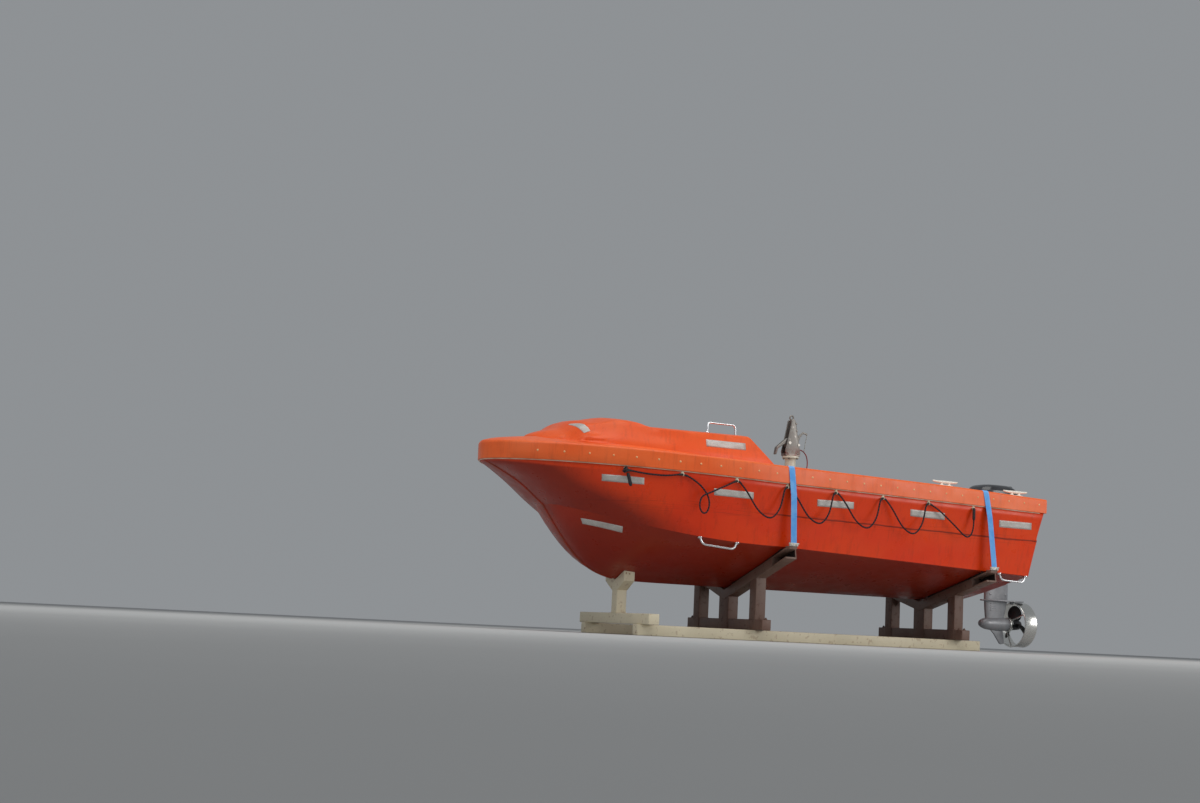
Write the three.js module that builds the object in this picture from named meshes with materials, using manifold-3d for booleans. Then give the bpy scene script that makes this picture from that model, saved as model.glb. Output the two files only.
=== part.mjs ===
// A rigid rescue boat with a low bow cuddy, lashed down on its deck cradle, with its outboard.
// Millimetres. +X points to the bow, +Y to port, +Z up. The floor under the cradle is z = 0,
// and x = 0 is the middle of the hull.
import * as THREE from "three";
import { mergeVertices } from "three/addons/utils/BufferGeometryUtils.js";
import Module from "manifold-3d";

const wasm = await Module();
wasm.setup();

// Driving dimensions
const GAP = 0.4; // left between pieces that touch
const STERN = -2250;
const HALF_BEAM = 925; // hull at the hull and deck joint
const BOW_X = 2262;
const RAKE = 0.13; // how far the transom leans forward for each mm down
const STERN_TAPER = 0.022; // share of the half beam lost at the transom
const SOLE = 700; // cockpit floor
const STRAKE = { proud: 13, height: 128, sternLoss: 0.0176, lossFrom: -1340, edge: 16 };
const COCKPIT = { aft: -2050, fore: 156, half: 700 };
const LOCKER = { bowStart: 700, tip: 1420, half: 600 };
const NOTCH = { half: 290, floor: 958, wall: -2125 };
const CUDDY = { aft: 100, half: 690, bowStart: 650, tip: 1950, wall: 24 };
const PLAN_STEPS = { aft: 6, bow: 12 };

// The level lines of the hull, keel first. Columns: share (0 keel, 1 chine, 2 joint), half beam
// amidships, x where its bow curve starts, x and z where it meets the stem, z at the transom,
// z at the start of the bow curve, power of its rise to the stem, q of the curve in plan.
const P_PLAN = 2.2;
const LEVELS = [
  [0, 0, 100, 1097, 408, 400, 400, 8, 2.4],
  [0.33, 268, 150, 1355, 488, 462, 490, 6, 2.4],
  [0.67, 544, 140, 1550, 656, 534, 588, 4, 2.4],
  [1, 812, 190, 1761, 934, 607, 698, 2.2, 2],
  [1.33, 844, 240, 1890, 1032, 776, 854, 2, 2.4],
  [1.67, 880, 280, 2010, 1110, 946, 1010, 1.6, 2.3],
  [2, HALF_BEAM, 300, BOW_X, 1229, 1115, 1164, 1, 1.7],
].map(([share, half, bowStart, stemX, stemZ, zStern, zBow, rise, q]) => ({
  share, half, bowStart, stemX, stemZ, zStern, zBow, rise, q,
}));
const JOINT = LEVELS[LEVELS.length - 1];

const lerp = THREE.MathUtils.lerp;
const rad = THREE.MathUtils.degToRad;

// Colours and finishes
const paint = (color, roughness = 0.5, metalness = 0) =>
  new THREE.MeshStandardMaterial({ color, roughness, metalness });
const FINISH = {
  orange: paint(0xd2552d, 0.42),
  orangeDeck: paint(0xe0683e, 0.45),
  liner: paint(0xd9d5c8, 0.6),
  steel: paint(0xb9bcbf, 0.25, 1),
  darkSteel: paint(0x5b5a58, 0.45, 0.9),
  rope: paint(0x1d1c22, 0.9),
  strap: paint(0x4b96e6, 0.8),
  cradle: paint(0x56453d, 0.55),
  cream: paint(0xd8cba0, 0.5),
  rubber: paint(0x222222, 0.85),
  cushion: paint(0x30343a, 0.8),
  grey: paint(0x9aa0a4, 0.4),
  dark: paint(0x26282b, 0.5),
  fitting: paint(0xe9e4d6, 0.45),
};

const root = new THREE.Group();
root.name = "rescue_boat";

// Makes a closed solid of a geometry, dropping the faces that merging collapses.
function solid(geometry) {
  const g = geometry.clone();
  g.deleteAttribute("normal");
  g.deleteAttribute("uv");
  const merged = mergeVertices(g, 1e-3);
  const index = merged.index.array;
  const kept = [];
  for (let i = 0; i < index.length; i += 3) {
    const [a, b, c] = [index[i], index[i + 1], index[i + 2]];
    if (a !== b && b !== c && c !== a) kept.push(a, b, c);
  }
  const made = new wasm.Manifold(
    new wasm.Mesh({
      numProp: 3,
      vertProperties: merged.attributes.position.array,
      triVerts: new Uint32Array(kept),
    }),
  );
  return made;
}

function geometryOf(made) {
  const mesh = made.getMesh();
  const g = new THREE.BufferGeometry();
  g.setAttribute("position", new THREE.BufferAttribute(new Float32Array(mesh.vertProperties), 3));
  g.setIndex(new THREE.BufferAttribute(new Uint32Array(mesh.triVerts), 1));
  const flat = g.toNonIndexed();
  flat.computeVertexNormals();
  return flat;
}

function place(name, made, material, group = root) {
  const mesh = new THREE.Mesh(geometryOf(made), material);
  mesh.name = name;
  group.add(mesh);
  return mesh;
}

// The biggest body of a cut solid, without the slivers that the cut leaves beyond its seat.
const largest = (made) => made.decompose().sort((a, b) => b.volume() - a.volume())[0];

const moved = (geometry, x, y, z) => geometry.translate(x, y, z);
const unite = (...parts) => parts.reduce((a, b) => a.add(b));

// A block between two corners.
function block(x0, x1, y0, y1, z0, z1) {
  const g = new THREE.BoxGeometry(x1 - x0, y1 - y0, z1 - z0);
  return solid(moved(g, (x0 + x1) / 2, (y0 + y1) / 2, (z0 + z1) / 2));
}

function shapeOf(points) {
  return new THREE.Shape(points.map(([a, b]) => new THREE.Vector2(a, b)));
}

// A plan outline of (x, y) points raised from z0 to z1.
function prismZ(points, z0, z1) {
  const g = new THREE.ExtrudeGeometry(shapeOf(points), { depth: z1 - z0, bevelEnabled: false });
  return solid(moved(g, 0, 0, z0));
}

// A side outline of (x, z) points, from y0 to y1.
function prismY(points, y0, y1) {
  const g = new THREE.ExtrudeGeometry(shapeOf(points), { depth: y1 - y0, bevelEnabled: false });
  return solid(g.rotateX(Math.PI / 2).translate(0, y1, 0));
}

// A front outline of (y, z) points, from x0 to x1.
function prismX(points, x0, x1) {
  const g = new THREE.ExtrudeGeometry(shapeOf(points), { depth: x1 - x0, bevelEnabled: false });
  g.applyMatrix4(new THREE.Matrix4().set(0, 0, 1, x0, 1, 0, 0, 0, 0, 1, 0, 0, 0, 0, 0, 1));
  return solid(g);
}

// A solid of revolution from (radius, height) points, its axis turned onto X, Y or Z.
function turned(profile, axis, at, segments = 24) {
  const g = new THREE.LatheGeometry(profile.map(([r, h]) => new THREE.Vector2(r, h)), segments);
  if (axis === "x") g.rotateZ(-Math.PI / 2);
  if (axis === "z") g.rotateX(Math.PI / 2);
  const made = solid(g.translate(...at));
  return made.volume() < 0 ? turned([...profile].reverse(), axis, at, segments) : made;
}

const rod = (r, h0, h1, axis, at, segments = 20) =>
  turned([[0, h0], [r, h0], [r, h1], [0, h1]], axis, at, segments);

// A round bar along a curve through the points.
function bar(points, radius, steps, sides = 8, tension = 0.35) {
  const path = new THREE.CatmullRomCurve3(
    points.map((p) => new THREE.Vector3(...p)), false, "catmullrom", tension,
  );
  const section = new THREE.Shape();
  for (let i = 0; i < sides; i++) {
    const a = (2 * Math.PI * i) / sides;
    const p = [radius * Math.cos(a), radius * Math.sin(a)];
    i ? section.lineTo(...p) : section.moveTo(...p);
  }
  return solid(new THREE.ExtrudeGeometry(section, { steps, extrudePath: path }));
}

// A skin over rings with the same number of points, closed by a fan at each end.
function loft(rings) {
  const n = rings[0].length;
  const points = rings.flat().map((p) => new THREE.Vector3(...p));
  const index = [];
  for (let r = 0; r + 1 < rings.length; r++)
    for (let i = 0; i < n; i++) {
      const j = (i + 1) % n;
      const [a, b, c, d] = [r * n + i, r * n + j, (r + 1) * n + i, (r + 1) * n + j];
      index.push(a, b, d, a, d, c);
    }
  for (const [r, flip] of [[0, true], [rings.length - 1, false]]) {
    const middle = new THREE.Vector3();
    for (let i = 0; i < n; i++) middle.addScaledVector(points[r * n + i], 1 / n);
    points.push(middle);
    for (let i = 0; i < n; i++) {
      const face = [r * n + i, r * n + ((i + 1) % n), points.length - 1];
      index.push(...(flip ? face.reverse() : face));
    }
  }
  const g = new THREE.BufferGeometry();
  const xyz = new Float32Array(points.flatMap((p) => [p.x, p.y, p.z]));
  g.setAttribute("position", new THREE.BufferAttribute(xyz, 3));
  g.setIndex(index);
  const made = solid(g);
  if (made.volume() > 0) return made;
  g.setIndex([...index].reverse());
  return solid(g);
}

const mirrored = (made) => made.mirror([0, 1, 0]);
const starboardRing = (port) => [...port].reverse().map(([x, y, z]) => [x, -y, z]);

// Half beam and height of a level line at x.
function levelAt(level, x) {
  const { half, bowStart, stemX, stemZ, zStern, zBow, rise, q, share } = level;
  if (x <= bowStart) {
    const t = (x - STERN) / (bowStart - STERN);
    const keelRise = 26 * (Math.max(0, -1700 - x) / 500) ** 2 * Math.max(0, 1 - share);
    return [half * (1 - STERN_TAPER * (1 - t) ** 2), lerp(zStern, zBow, t) + keelRise];
  }
  const u = Math.min(1, (x - bowStart) / (stemX - bowStart));
  return [half * (1 - u ** P_PLAN) ** (1 / q), zBow + (stemZ - zBow) * u ** rise];
}

// The stations of a level line from the transom to the stem, closer together at the bow.
function levelStations(level, aft) {
  const xs = [];
  for (let i = 0; i < PLAN_STEPS.aft; i++) xs.push(lerp(aft, level.bowStart, i / PLAN_STEPS.aft));
  for (let i = 0; i <= PLAN_STEPS.bow; i++) {
    const u = Math.sin((i / PLAN_STEPS.bow) * (Math.PI / 2)) ** (2 / P_PLAN);
    xs.push(lerp(level.bowStart, level.stemX, u));
  }
  return xs;
}

function levelLine(level) {
  const aft = STERN + (JOINT.zStern - levelAt(level, STERN)[1]) * RAKE;
  return levelStations(level, aft).map((x) => [x, ...levelAt(level, x)]);
}

// Half beam of the hull's skin at x and height z, between the level lines.
function hullSide(x, z) {
  const rows = LEVELS.map((level) => levelAt(level, x));
  for (let i = 0; i + 1 < rows.length; i++) {
    const [y0, z0] = rows[i];
    const [y1, z1] = rows[i + 1];
    if (z <= z1) return lerp(y0, y1, (z - z0) / (z1 - z0));
  }
  return rows[rows.length - 1][0];
}

const jointZ = (x) => levelAt(JOINT, x)[1];
const deckZ = (x) =>
  jointZ(x) + STRAKE.height - STRAKE.sternLoss * Math.max(0, STRAKE.lossFrom - x);

// The whole outer form of the hull, with a flat lid at the joint.
function hullForm() {
  const lines = LEVELS.map(levelLine).reverse();
  return loft(
    lines[0].map((_, s) => {
      const port = lines.map((line) => line[s]);
      return [...port, ...starboardRing(port).slice(1)];
    }),
  );
}

// The deck moulding's outer form: the strake round the boat, flat side decks and the crowned
// foredeck. lift raises it, for cutting what stands on it.
function deckForm(lift = 0) {
  const rings = [];
  const level = { ...JOINT, half: HALF_BEAM + STRAKE.proud, stemX: BOW_X + STRAKE.proud };
  for (const x of levelStations(level, STERN - 8)) {
    const [y] = levelAt(level, x);
    const top = deckZ(x) + lift;
    const crown = 75 * THREE.MathUtils.smoothstep(x, 300, 1600) * Math.min(1, y / 500);
    const side = [
      [x, y, jointZ(x) + GAP],
      [x, y + 2 * Math.min(1, y / 60), top - STRAKE.edge],
      [x, Math.max(0, y - STRAKE.edge), top],
      [x, y * 0.72, top + crown * 0.45],
      [x, y * 0.4, top + crown * 0.85],
    ];
    rings.push([...side, [x, 0, top + crown], ...starboardRing(side)]);
  }
  return loft(rings);
}

// A closed plan with square aft corners and a rounded nose.
function roundNosed({ aft, bowStart, tip, half }, inset = 0) {
  const port = [[aft + inset, half - inset]];
  const steps = 8;
  for (let i = 0; i <= steps; i++) {
    const a = (i / steps) * (Math.PI / 2);
    port.push([
      lerp(bowStart, tip - inset, Math.sin(a) ** (2 / 2.4)),
      (half - inset) * Math.cos(a) ** (2 / 2.4),
    ]);
  }
  return [...port, ...port.slice(0, -1).reverse().map(([x, y]) => [x, -y])].reverse();
}

// The cockpit, the locker under the cuddy and the notch for the motor, cut from hull and deck.
function wells() {
  const { aft, fore, half } = COCKPIT;
  const corner = 90;
  const plan = [
    [fore, half], [aft + corner, half], [aft, half - corner],
    [aft, -half + corner], [aft + corner, -half], [fore, -half],
  ];
  const top = 1700;
  return unite(
    prismZ(plan, SOLE, top),
    prismZ(roundNosed({ ...LOCKER, aft: fore - 1 }), SOLE, top),
    block(NOTCH.wall, aft + 10, -NOTCH.half, NOTCH.half, SOLE, top),
    block(STERN - 60, aft, -NOTCH.half, NOTCH.half, NOTCH.floor, top),
  );
}

// Grab line: fittings along the topside, and the rope that hangs in loops between them.
const LINE = { below: 30, rope: 12, stand: 7 };
const LINE_X = [1462, 1060, 635, 205, -227, -658, -1090, -1527];
// The loops from the bow aft. Columns: drop below the fittings, share of the bay at which the
// loop is lowest, power of its curve.
const LOOPS = [
  [18, 0.5, 1], [237, 0.41, 1.5], [257, 0.61, 1.8], [260, 0.65, 1.8], [254, 0.62, 1.8],
  [262, 0.65, 1.8], [227, 0.93, 1.2],
];
const fittingAt = (i) => {
  const x = LINE_X[i];
  const z = jointZ(x) - LINE.below;
  return [x, hullSide(x, z), z];
};

const hullSkin = hullForm();
const wellSpace = wells();

function fittingPads() {
  const pads = [];
  for (const i of LINE_X.keys()) {
    const [x, y, z] = fittingAt(i);
    const pad = block(x - 3.5, x + 3.5, y - 30, y + LINE.stand - 0.3, z - 2, z + 12);
    pads.push(pad, mirrored(pad));
  }
  return unite(...pads);
}

place("hull", hullSkin.add(fittingPads()).subtract(wellSpace), FINISH.orange);
place("deck_moulding", deckForm().subtract(wellSpace), FINISH.orangeDeck);

// Cuddy: height of its shoulder along the boat. Columns: x, shoulder z, inset of the shoulder.
const CUDDY_ROWS = [
  [CUDDY.aft, 1518, 42], [420, 1516, 42], [900, 1512, 42], [1150, 1512, 46], [1220, 1522, 50],
  [1290, 1543, 56], [1370, 1552, 62], [1430, 1552, 70], [1490, 1540, 82], [1560, 1524, 98],
  [1620, 1518, 112], [1665, 1502, 124], [1705, 1474, 130], [1740, 1448, 130], [1800, 1434, 124],
  [1860, 1416, 112], [1910, 1396, 96], [1930, 1386, 84],
];
const CUDDY_CROWN = 46;
const CUDDY_END = [
  [498, 1700], [498, 1568], [438, 1545], [384, 1508], [153, 1292], [153, 1150], [-100, 1150],
  [-100, 1700],
];

function cuddyHalf(x, inset) {
  const { half, bowStart, tip } = CUDDY;
  const u = Math.max(0, Math.min(1, (x - bowStart) / (tip - inset - bowStart)));
  return (half - inset) * (1 - u ** 2.4) ** (1 / 2.4);
}

function cuddyForm(inset) {
  const rows = CUDDY_ROWS.filter(([x]) => x < CUDDY.tip - inset - 4);
  const rings = rows.map(([x, z, lean]) => {
    const foot = cuddyHalf(x, inset);
    const k = Math.min(1, foot / 260);
    const shoulder = Math.max(foot * 0.3, foot - lean * k);
    const top = z - inset;
    const side = [
      [x, foot, 1100],
      [x, foot, deckZ(x) - inset],
      [x, lerp(foot, shoulder, 0.55), top - 70],
      [x, lerp(foot, shoulder, 0.85), top - 24],
      [x, shoulder - 26 * k, top],
      [x, shoulder * 0.5, top + CUDDY_CROWN * 0.78 * k],
    ];
    return [...side, [x, 0, top + CUDDY_CROWN * k], ...starboardRing(side)];
  });
  const tip = CUDDY.tip - inset;
  const nose = 1372 - inset;
  const last = [1100, deckZ(tip) - inset, nose - 30, nose - 12, nose, nose + 2].map((z) => [tip, 0, z]);
  rings.push([...last, [tip, 0, nose + 3], ...starboardRing(last)]);
  return loft(rings);
}

// What is behind the sloping aft face, moved forward by the wall for the inside.
const behindCuddy = (shift) =>
  prismY(CUDDY_END.map(([x, z]) => [x + shift, z]), -800, 800);

// The hatch on the cuddy's sloping face. along runs down the slope from the hinge.
const SLOPE = Math.atan2(CUDDY_END[3][1] - CUDDY_END[4][1], CUDDY_END[3][0] - CUDDY_END[4][0]);
const HATCH = { x: 376, z: 1503, length: 236, half: 300, thick: 22, rim: 38, pin: 9, lift: 14 };
const slopeDirection = [-Math.cos(SLOPE), -Math.sin(SLOPE)];
const slopeNormal = [-Math.sin(SLOPE), Math.cos(SLOPE)];
const onSlope = (along, out) => [
  HATCH.x + slopeDirection[0] * along + slopeNormal[0] * out,
  HATCH.z + slopeDirection[1] * along + slopeNormal[1] * out,
];

function slopeSlab(a0, a1, o0, o1, half) {
  return prismY([onSlope(a0, o0), onSlope(a0, o1), onSlope(a1, o1), onSlope(a1, o0)], -half, half);
}

const hatchOpening = slopeSlab(HATCH.rim, HATCH.length - HATCH.rim, -60, 40, HATCH.half - HATCH.rim);
const cuddyShell = cuddyForm(0)
  .subtract(behindCuddy(0))
  .subtract(cuddyForm(CUDDY.wall).subtract(behindCuddy(CUDDY.wall * 1.4)))
  .subtract(hatchOpening)
  .subtract(deckForm(GAP));
const hingeBlocks = unite(
  ...[-1, 1].map((side) => {
    const y = side * 190;
    const slab = slopeSlab(-34, -2, -3, 8, 30).translate(0, y, 0);
    const [px, pz] = onSlope(-12, HATCH.lift);
    return slab.add(rod(HATCH.pin, y - 34 + GAP, y + 34 - GAP, "y", [px, 0, pz]));
  }),
);
place("cuddy_shell", largest(cuddyShell.add(hingeBlocks)), FINISH.orangeDeck);

const hatchPivot = onSlope(-12, HATCH.lift);
const hatchPanel = slopeSlab(4, HATCH.length, GAP * 2, HATCH.thick, HATCH.half);
const hatchArms = unite(
  ...[-1, 1].map((side) => {
    const y = side * 190;
    const arm = slopeSlab(-14, 60, 13, 27, 12);
    return unite(arm.translate(0, y - 46, 0), arm.translate(0, y + 46, 0));
  }),
);
const hatchHandle = bar(
  [[-55, 0], [-55, 34], [55, 34], [55, 0]].map(([y, out]) => {
    const [x, z] = onSlope(HATCH.length - 40, HATCH.thick - 4 + out);
    return [x, y, z];
  }), 7, 20,
);
place("cuddy_hatch", hatchPanel.add(hatchArms).add(hatchHandle), FINISH.orangeDeck);

// Bulkhead between the cockpit and the locker under the cuddy.
const BULKHEAD = { x: 130, thick: 25 };
place(
  "locker_bulkhead",
  block(
    BULKHEAD.x, BULKHEAD.x + BULKHEAD.thick, -COCKPIT.half + GAP, COCKPIT.half - GAP,
    SOLE + GAP, deckZ(BULKHEAD.x) - 1,
  ),
  FINISH.liner,
);

// Stainless hand rails. Roof rails stand on the cuddy, bilge rails hang under the chine.
const RAIL_R = 8;
const ROOF_RAIL = { x0: 398, x1: 645, y: 470, base: 1470, top: 1612 };
for (const [side, sign] of [["port", 1], ["starboard", -1]]) {
  const { x0, x1, y, base, top } = ROOF_RAIL;
  const path = [
    [x0, sign * y, base], [x0 + 3, sign * y, top - 18], [x0 + 26, sign * y, top],
    [x1 - 26, sign * y, top], [x1 - 3, sign * y, top - 18], [x1, sign * y, base],
  ];
  const seat = cuddyForm(0).subtract(behindCuddy(0)).translate(-GAP, 0, GAP);
  place("roof_rail_" + side, largest(bar(path, RAIL_R, 18).subtract(seat)), FINISH.steel);
}

// Columns: name, x at its aft and fore ends.
const BILGE_RAILS = [["fore", 540, 830], ["aft", -2165, -1895]];
const BILGE_RAIL = { drop: 42, inset: 10, bend: 46 };
for (const [name, x0, x1] of BILGE_RAILS)
  for (const [side, sign] of [["port", 1], ["starboard", -1]]) {
    const foot = (x) => {
      const [y, z] = levelAt(LEVELS[3], x);
      return [x, y - BILGE_RAIL.inset, z];
    };
    const { drop, bend } = BILGE_RAIL;
    const [a, b] = [foot(x0), foot(x1)];
    const path = [
      [a[0], a[1], a[2] + 5], [a[0] + bend * 0.4, a[1], a[2] - drop * 0.75],
      [a[0] + bend, a[1], a[2] - drop], [b[0] - bend, b[1], b[2] - drop],
      [b[0] - bend * 0.4, b[1], b[2] - drop * 0.75], [b[0], b[1], b[2] + 5],
    ].map(([x, y, z]) => [x, sign * y, z]);
    const seat = hullSkin.translate(0, 0, -GAP);
    place("bilge_rail_" + name + "_" + side, largest(bar(path, RAIL_R, 16).subtract(seat)), FINISH.steel);
  }

// Cleats on the side decks.
const CLEAT = { length: 240, height: 44, bar: 11, foot: 36 };
for (const [name, x] of [["mid", -1300], ["aft", -1997]])
  for (const [side, sign] of [["port", 1], ["starboard", -1]]) {
    const y = sign * 845;
    const z = deckZ(x);
    const feet = [-1, 1].map((s) => rod(CLEAT.bar, -2, CLEAT.height - 8, "z", [x + s * CLEAT.foot, y, z], 10));
    const horn = bar(
      [[-0.5, 2], [-0.25, -3], [0.25, -3], [0.5, 2]].map(([t, dz]) => [
        x + t * CLEAT.length, y, z + CLEAT.height - 10 + dz,
      ]), CLEAT.bar - 1, 5,
    );
    const base = block(x - 58, x + 58, y - 20, y + 20, z - 6, z + 8);
    const cleat = unite(base, horn, ...feet).subtract(deckForm(GAP));
    place("cleat_" + name + "_" + side, cleat, FINISH.fitting);
  }

// Helm: console, wheel, seat and cushion.
const CONSOLE = { x0: -330, x1: -70, y0: -560, y1: -180, top: 1350 };
const consoleSide = [
  [CONSOLE.x0 + 70, SOLE + GAP], [CONSOLE.x1, SOLE + GAP], [CONSOLE.x1, CONSOLE.top - 30],
  [CONSOLE.x1 - 60, CONSOLE.top], [CONSOLE.x0 + 130, CONSOLE.top], [CONSOLE.x0 + 20, CONSOLE.top - 130],
  [CONSOLE.x0, CONSOLE.top - 230], [CONSOLE.x0 + 50, CONSOLE.top - 300],
].reverse();
const WHEEL = { x: -372, y: -370, z: 1296, r: 160, rim: 13, lean: 30 };
const wheelAxis = [-Math.cos(rad(WHEEL.lean)), 0, Math.sin(rad(WHEEL.lean))];
const wheelTurn = new THREE.Matrix4().makeBasis(
  new THREE.Vector3(0, -1, 0),
  new THREE.Vector3(Math.sin(rad(WHEEL.lean)), 0, Math.cos(rad(WHEEL.lean))),
  new THREE.Vector3(...wheelAxis),
);
// A solid made about the wheel's own axis, brought to its place at the helm.
const atWheel = (geometry) =>
  solid(geometry.applyMatrix4(wheelTurn).translate(WHEEL.x, WHEEL.y, WHEEL.z));
const turnedZ = (profile, segments = 24) =>
  new THREE.LatheGeometry(profile.map(([r, h]) => new THREE.Vector2(r, h)), segments).rotateX(Math.PI / 2);
const shaftTube = atWheel(turnedZ([[0, -95], [34, -95], [26, -18 - GAP], [0, -18 - GAP]]));
place("helm_console", prismY(consoleSide, CONSOLE.y0, CONSOLE.y1).add(shaftTube), FINISH.liner);
const spokes = [0, 1, 2].map((i) => {
  const g = new THREE.BoxGeometry(WHEEL.r, 26, 9).translate(WHEEL.r / 2, 0, 0);
  return atWheel(g.rotateZ((i * 2 * Math.PI) / 3 + Math.PI / 2));
});
place(
  "steering_wheel",
  unite(
    atWheel(new THREE.TorusGeometry(WHEEL.r, WHEEL.rim, 6, 24)),
    atWheel(turnedZ([[0, -18], [36, -18], [32, 14], [0, 20]])),
    ...spokes,
  ),
  FINISH.dark,
);

const SEAT = { x0: -1010, x1: -720, y0: -560, y1: -190, top: 1010, cushion: 72 };
place("helm_seat", block(SEAT.x0, SEAT.x1, SEAT.y0, SEAT.y1, SOLE + GAP, SEAT.top), FINISH.liner);
place(
  "helm_cushion",
  block(SEAT.x0 + 6, SEAT.x1 - 6, SEAT.y0 + 6, SEAT.y1 - 6, SEAT.top + GAP, SEAT.top + SEAT.cushion),
  FINISH.cushion,
);
const BENCH = { x0: -1960, x1: -1640, half: 560, top: 960 };
place("aft_bench", block(BENCH.x0, BENCH.x1, -BENCH.half, BENCH.half, SOLE + GAP, BENCH.top), FINISH.liner);

// Lifting post on the keel with the single release hook on top. The outlines of the hook's
// pieces are (x, z) from the middle of its base.
const HOOK = { x: -410, base: 1475, pivot: [33, 104], pin: 9, lever: [-53, 92] };
const hookOutline = (points, y0, y1) =>
  prismY(points.map(([x, z]) => [HOOK.x + x, HOOK.base + z]).reverse(), y0, y1);
const pivotRod = (r, y0, y1) =>
  rod(r, y0, y1, "y", [HOOK.x + HOOK.pivot[0], 0, HOOK.base + HOOK.pivot[1]]);
const POST = { r: 44, flange: 130, plate: 16 };
place(
  "lifting_post",
  unite(
    rod(POST.r, 10, HOOK.base - SOLE - GAP, "z", [HOOK.x, 0, SOLE]),
    rod(POST.flange, GAP, POST.plate, "z", [HOOK.x, 0, SOLE], 28),
    block(HOOK.x - 100, HOOK.x + 100, -6, 6, SOLE + 8, SOLE + 120),
    block(HOOK.x - 6, HOOK.x + 6, -100, 100, SOLE + 8, SOLE + 120),
    rod(66, HOOK.base - SOLE - 16, HOOK.base - SOLE - GAP, "z", [HOOK.x, 0, SOLE]),
  ),
  FINISH.liner,
);
// Side plates of the hook, and the bill that carries the link.
const HOOK_PLATE = [
  [-72, 28], [-64, 0], [64, 0], [72, 36], [48, 132], [26, 236], [18, 284], [0, 298], [-18, 284],
  [-28, 236], [-52, 132],
];
const HOOK_BILL = [[-32, 158], [-42, 202], [-24, 280], [8, 292], [-10, 236], [-12, 168]];
const hookPlates = unite(
  hookOutline(HOOK_PLATE, -34, -24),
  hookOutline(HOOK_PLATE, 24, 34),
  block(HOOK.x - 68, HOOK.x + 68, -34, 34, HOOK.base, HOOK.base + 20),
  hookOutline(HOOK_BILL, -34, 34),
);
const hookEye = turned(
  [[13, -9], [23, -9], [23, 9], [13, 9], [13, -9]], "y", [HOOK.x, 0, HOOK.base + 310], 20,
);
place("hook_body", unite(hookPlates, hookEye, pivotRod(HOOK.pin, -34, 34)), FINISH.darkSteel);
const TONGUE = [
  [18, 66], [50, 66], [62, 96], [128, 52], [142, 2], [152, 6], [142, 62], [70, 124], [46, 142],
  [24, 140], [10, 100],
];
place(
  "hook_tongue",
  hookOutline(TONGUE, -18, 18).subtract(pivotRod(HOOK.pin + 0.5, -30, 30)),
  FINISH.darkSteel,
);
const LEVER = [[-60, 84], [-42, 74], [-66, 168], [-112, 206], [-150, 196], [-152, 184], [-112, 190], [-84, 158]];
const leverBoss = rod(
  HOOK.pin, -24 + GAP, 24 - GAP, "y", [HOOK.x + HOOK.lever[0], 0, HOOK.base + HOOK.lever[1]], 12,
);
place("release_lever", hookOutline(LEVER, -6, 6).add(leverBoss), FINISH.darkSteel);

// Grab lines along both sides, and the loops between the fittings.
const ROPE_R = LINE.rope / 2;
const ropeRoute = () => {
  const points = [];
  for (let i = 0; i + 1 < LINE_X.length; i++) {
    const [x0, y0, z0] = fittingAt(i);
    const [x1, y1, z1] = fittingAt(i + 1);
    const [drop, low, power] = LOOPS[i];
    const steps = 6;
    for (let k = 0; k < steps; k++) {
      const t = k < steps / 2 ? (low * k * 2) / steps : lerp(low, 1, (k * 2) / steps - 1);
      const w = t < low ? t / low : (1 - t) / (1 - low);
      const x = lerp(x0, x1, t);
      const z = lerp(z0, z1, t) - drop * Math.sin((w * Math.PI) / 2) ** power;
      points.push([x, Math.max(lerp(y0, y1, t), hullSide(x, z)) + LINE.stand + ROPE_R, z]);
    }
  }
  const [x, y, z] = fittingAt(LINE_X.length - 1);
  points.push([x, y + LINE.stand + ROPE_R, z]);
  return points;
};
for (const [side, sign] of [["port", 1], ["starboard", -1]]) {
  const route = ropeRoute().map(([x, y, z]) => [x, sign * y, z]);
  place("grab_line_" + side, bar(route, ROPE_R, 84, 8, 0.5), FINISH.rope);
}

// Lashing straps from the cradle's tips over the gunwale to the side decks.
// Columns: name, x at the gunwale, x at the cradle.
const STRAP = { width: 50, thick: 3, foot: 892, inner: 800, plumb: 222 };
const FRAME_X = { fore: 115, aft: -1762 };
const STRAPS = [["fore", 186, FRAME_X.fore], ["aft", -1632, FRAME_X.aft]];
const ARM = { width: 96, thick: 78, tip: 852, pad: 12 };
const tipZ = (x) => levelAt(LEVELS[3], x)[1] + 26;
for (const [name, xTop, xFoot] of STRAPS)
  for (const [side, sign] of [["port", 1], ["starboard", -1]]) {
    const edgeX = xTop + STRAP.width / 2;
    const top = deckZ(edgeX) + GAP;
    const out = levelAt(JOINT, edgeX)[0] + STRAKE.proud + 3;
    const foot = tipZ(xFoot);
    const t = STRAP.thick;
    const inside = [
      [STRAP.inner, top], [out - STRAKE.edge - 2, top], [out, top - STRAKE.edge - 1],
      [out, top - STRAP.plumb], [STRAP.foot, foot],
    ];
    const outside = [
      [STRAP.foot + t, foot], [out + t, top - STRAP.plumb], [out + t, top - STRAKE.edge],
      [out - STRAKE.edge, top + t], [STRAP.inner, top + t],
    ];
    const band = prismX([...inside, ...outside].reverse(), -STRAP.width / 2, STRAP.width / 2);
    const slant = (xTop - xFoot) / (top - foot);
    const sheared = band.transform([1, 0, 0, 0, 0, 1, 0, 0, slant, 0, 1, 0, xTop - slant * top, 0, 0, 1]);
    place("strap_" + name + "_" + side, sign > 0 ? sheared : mirrored(sheared), FINISH.strap);
  }

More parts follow.
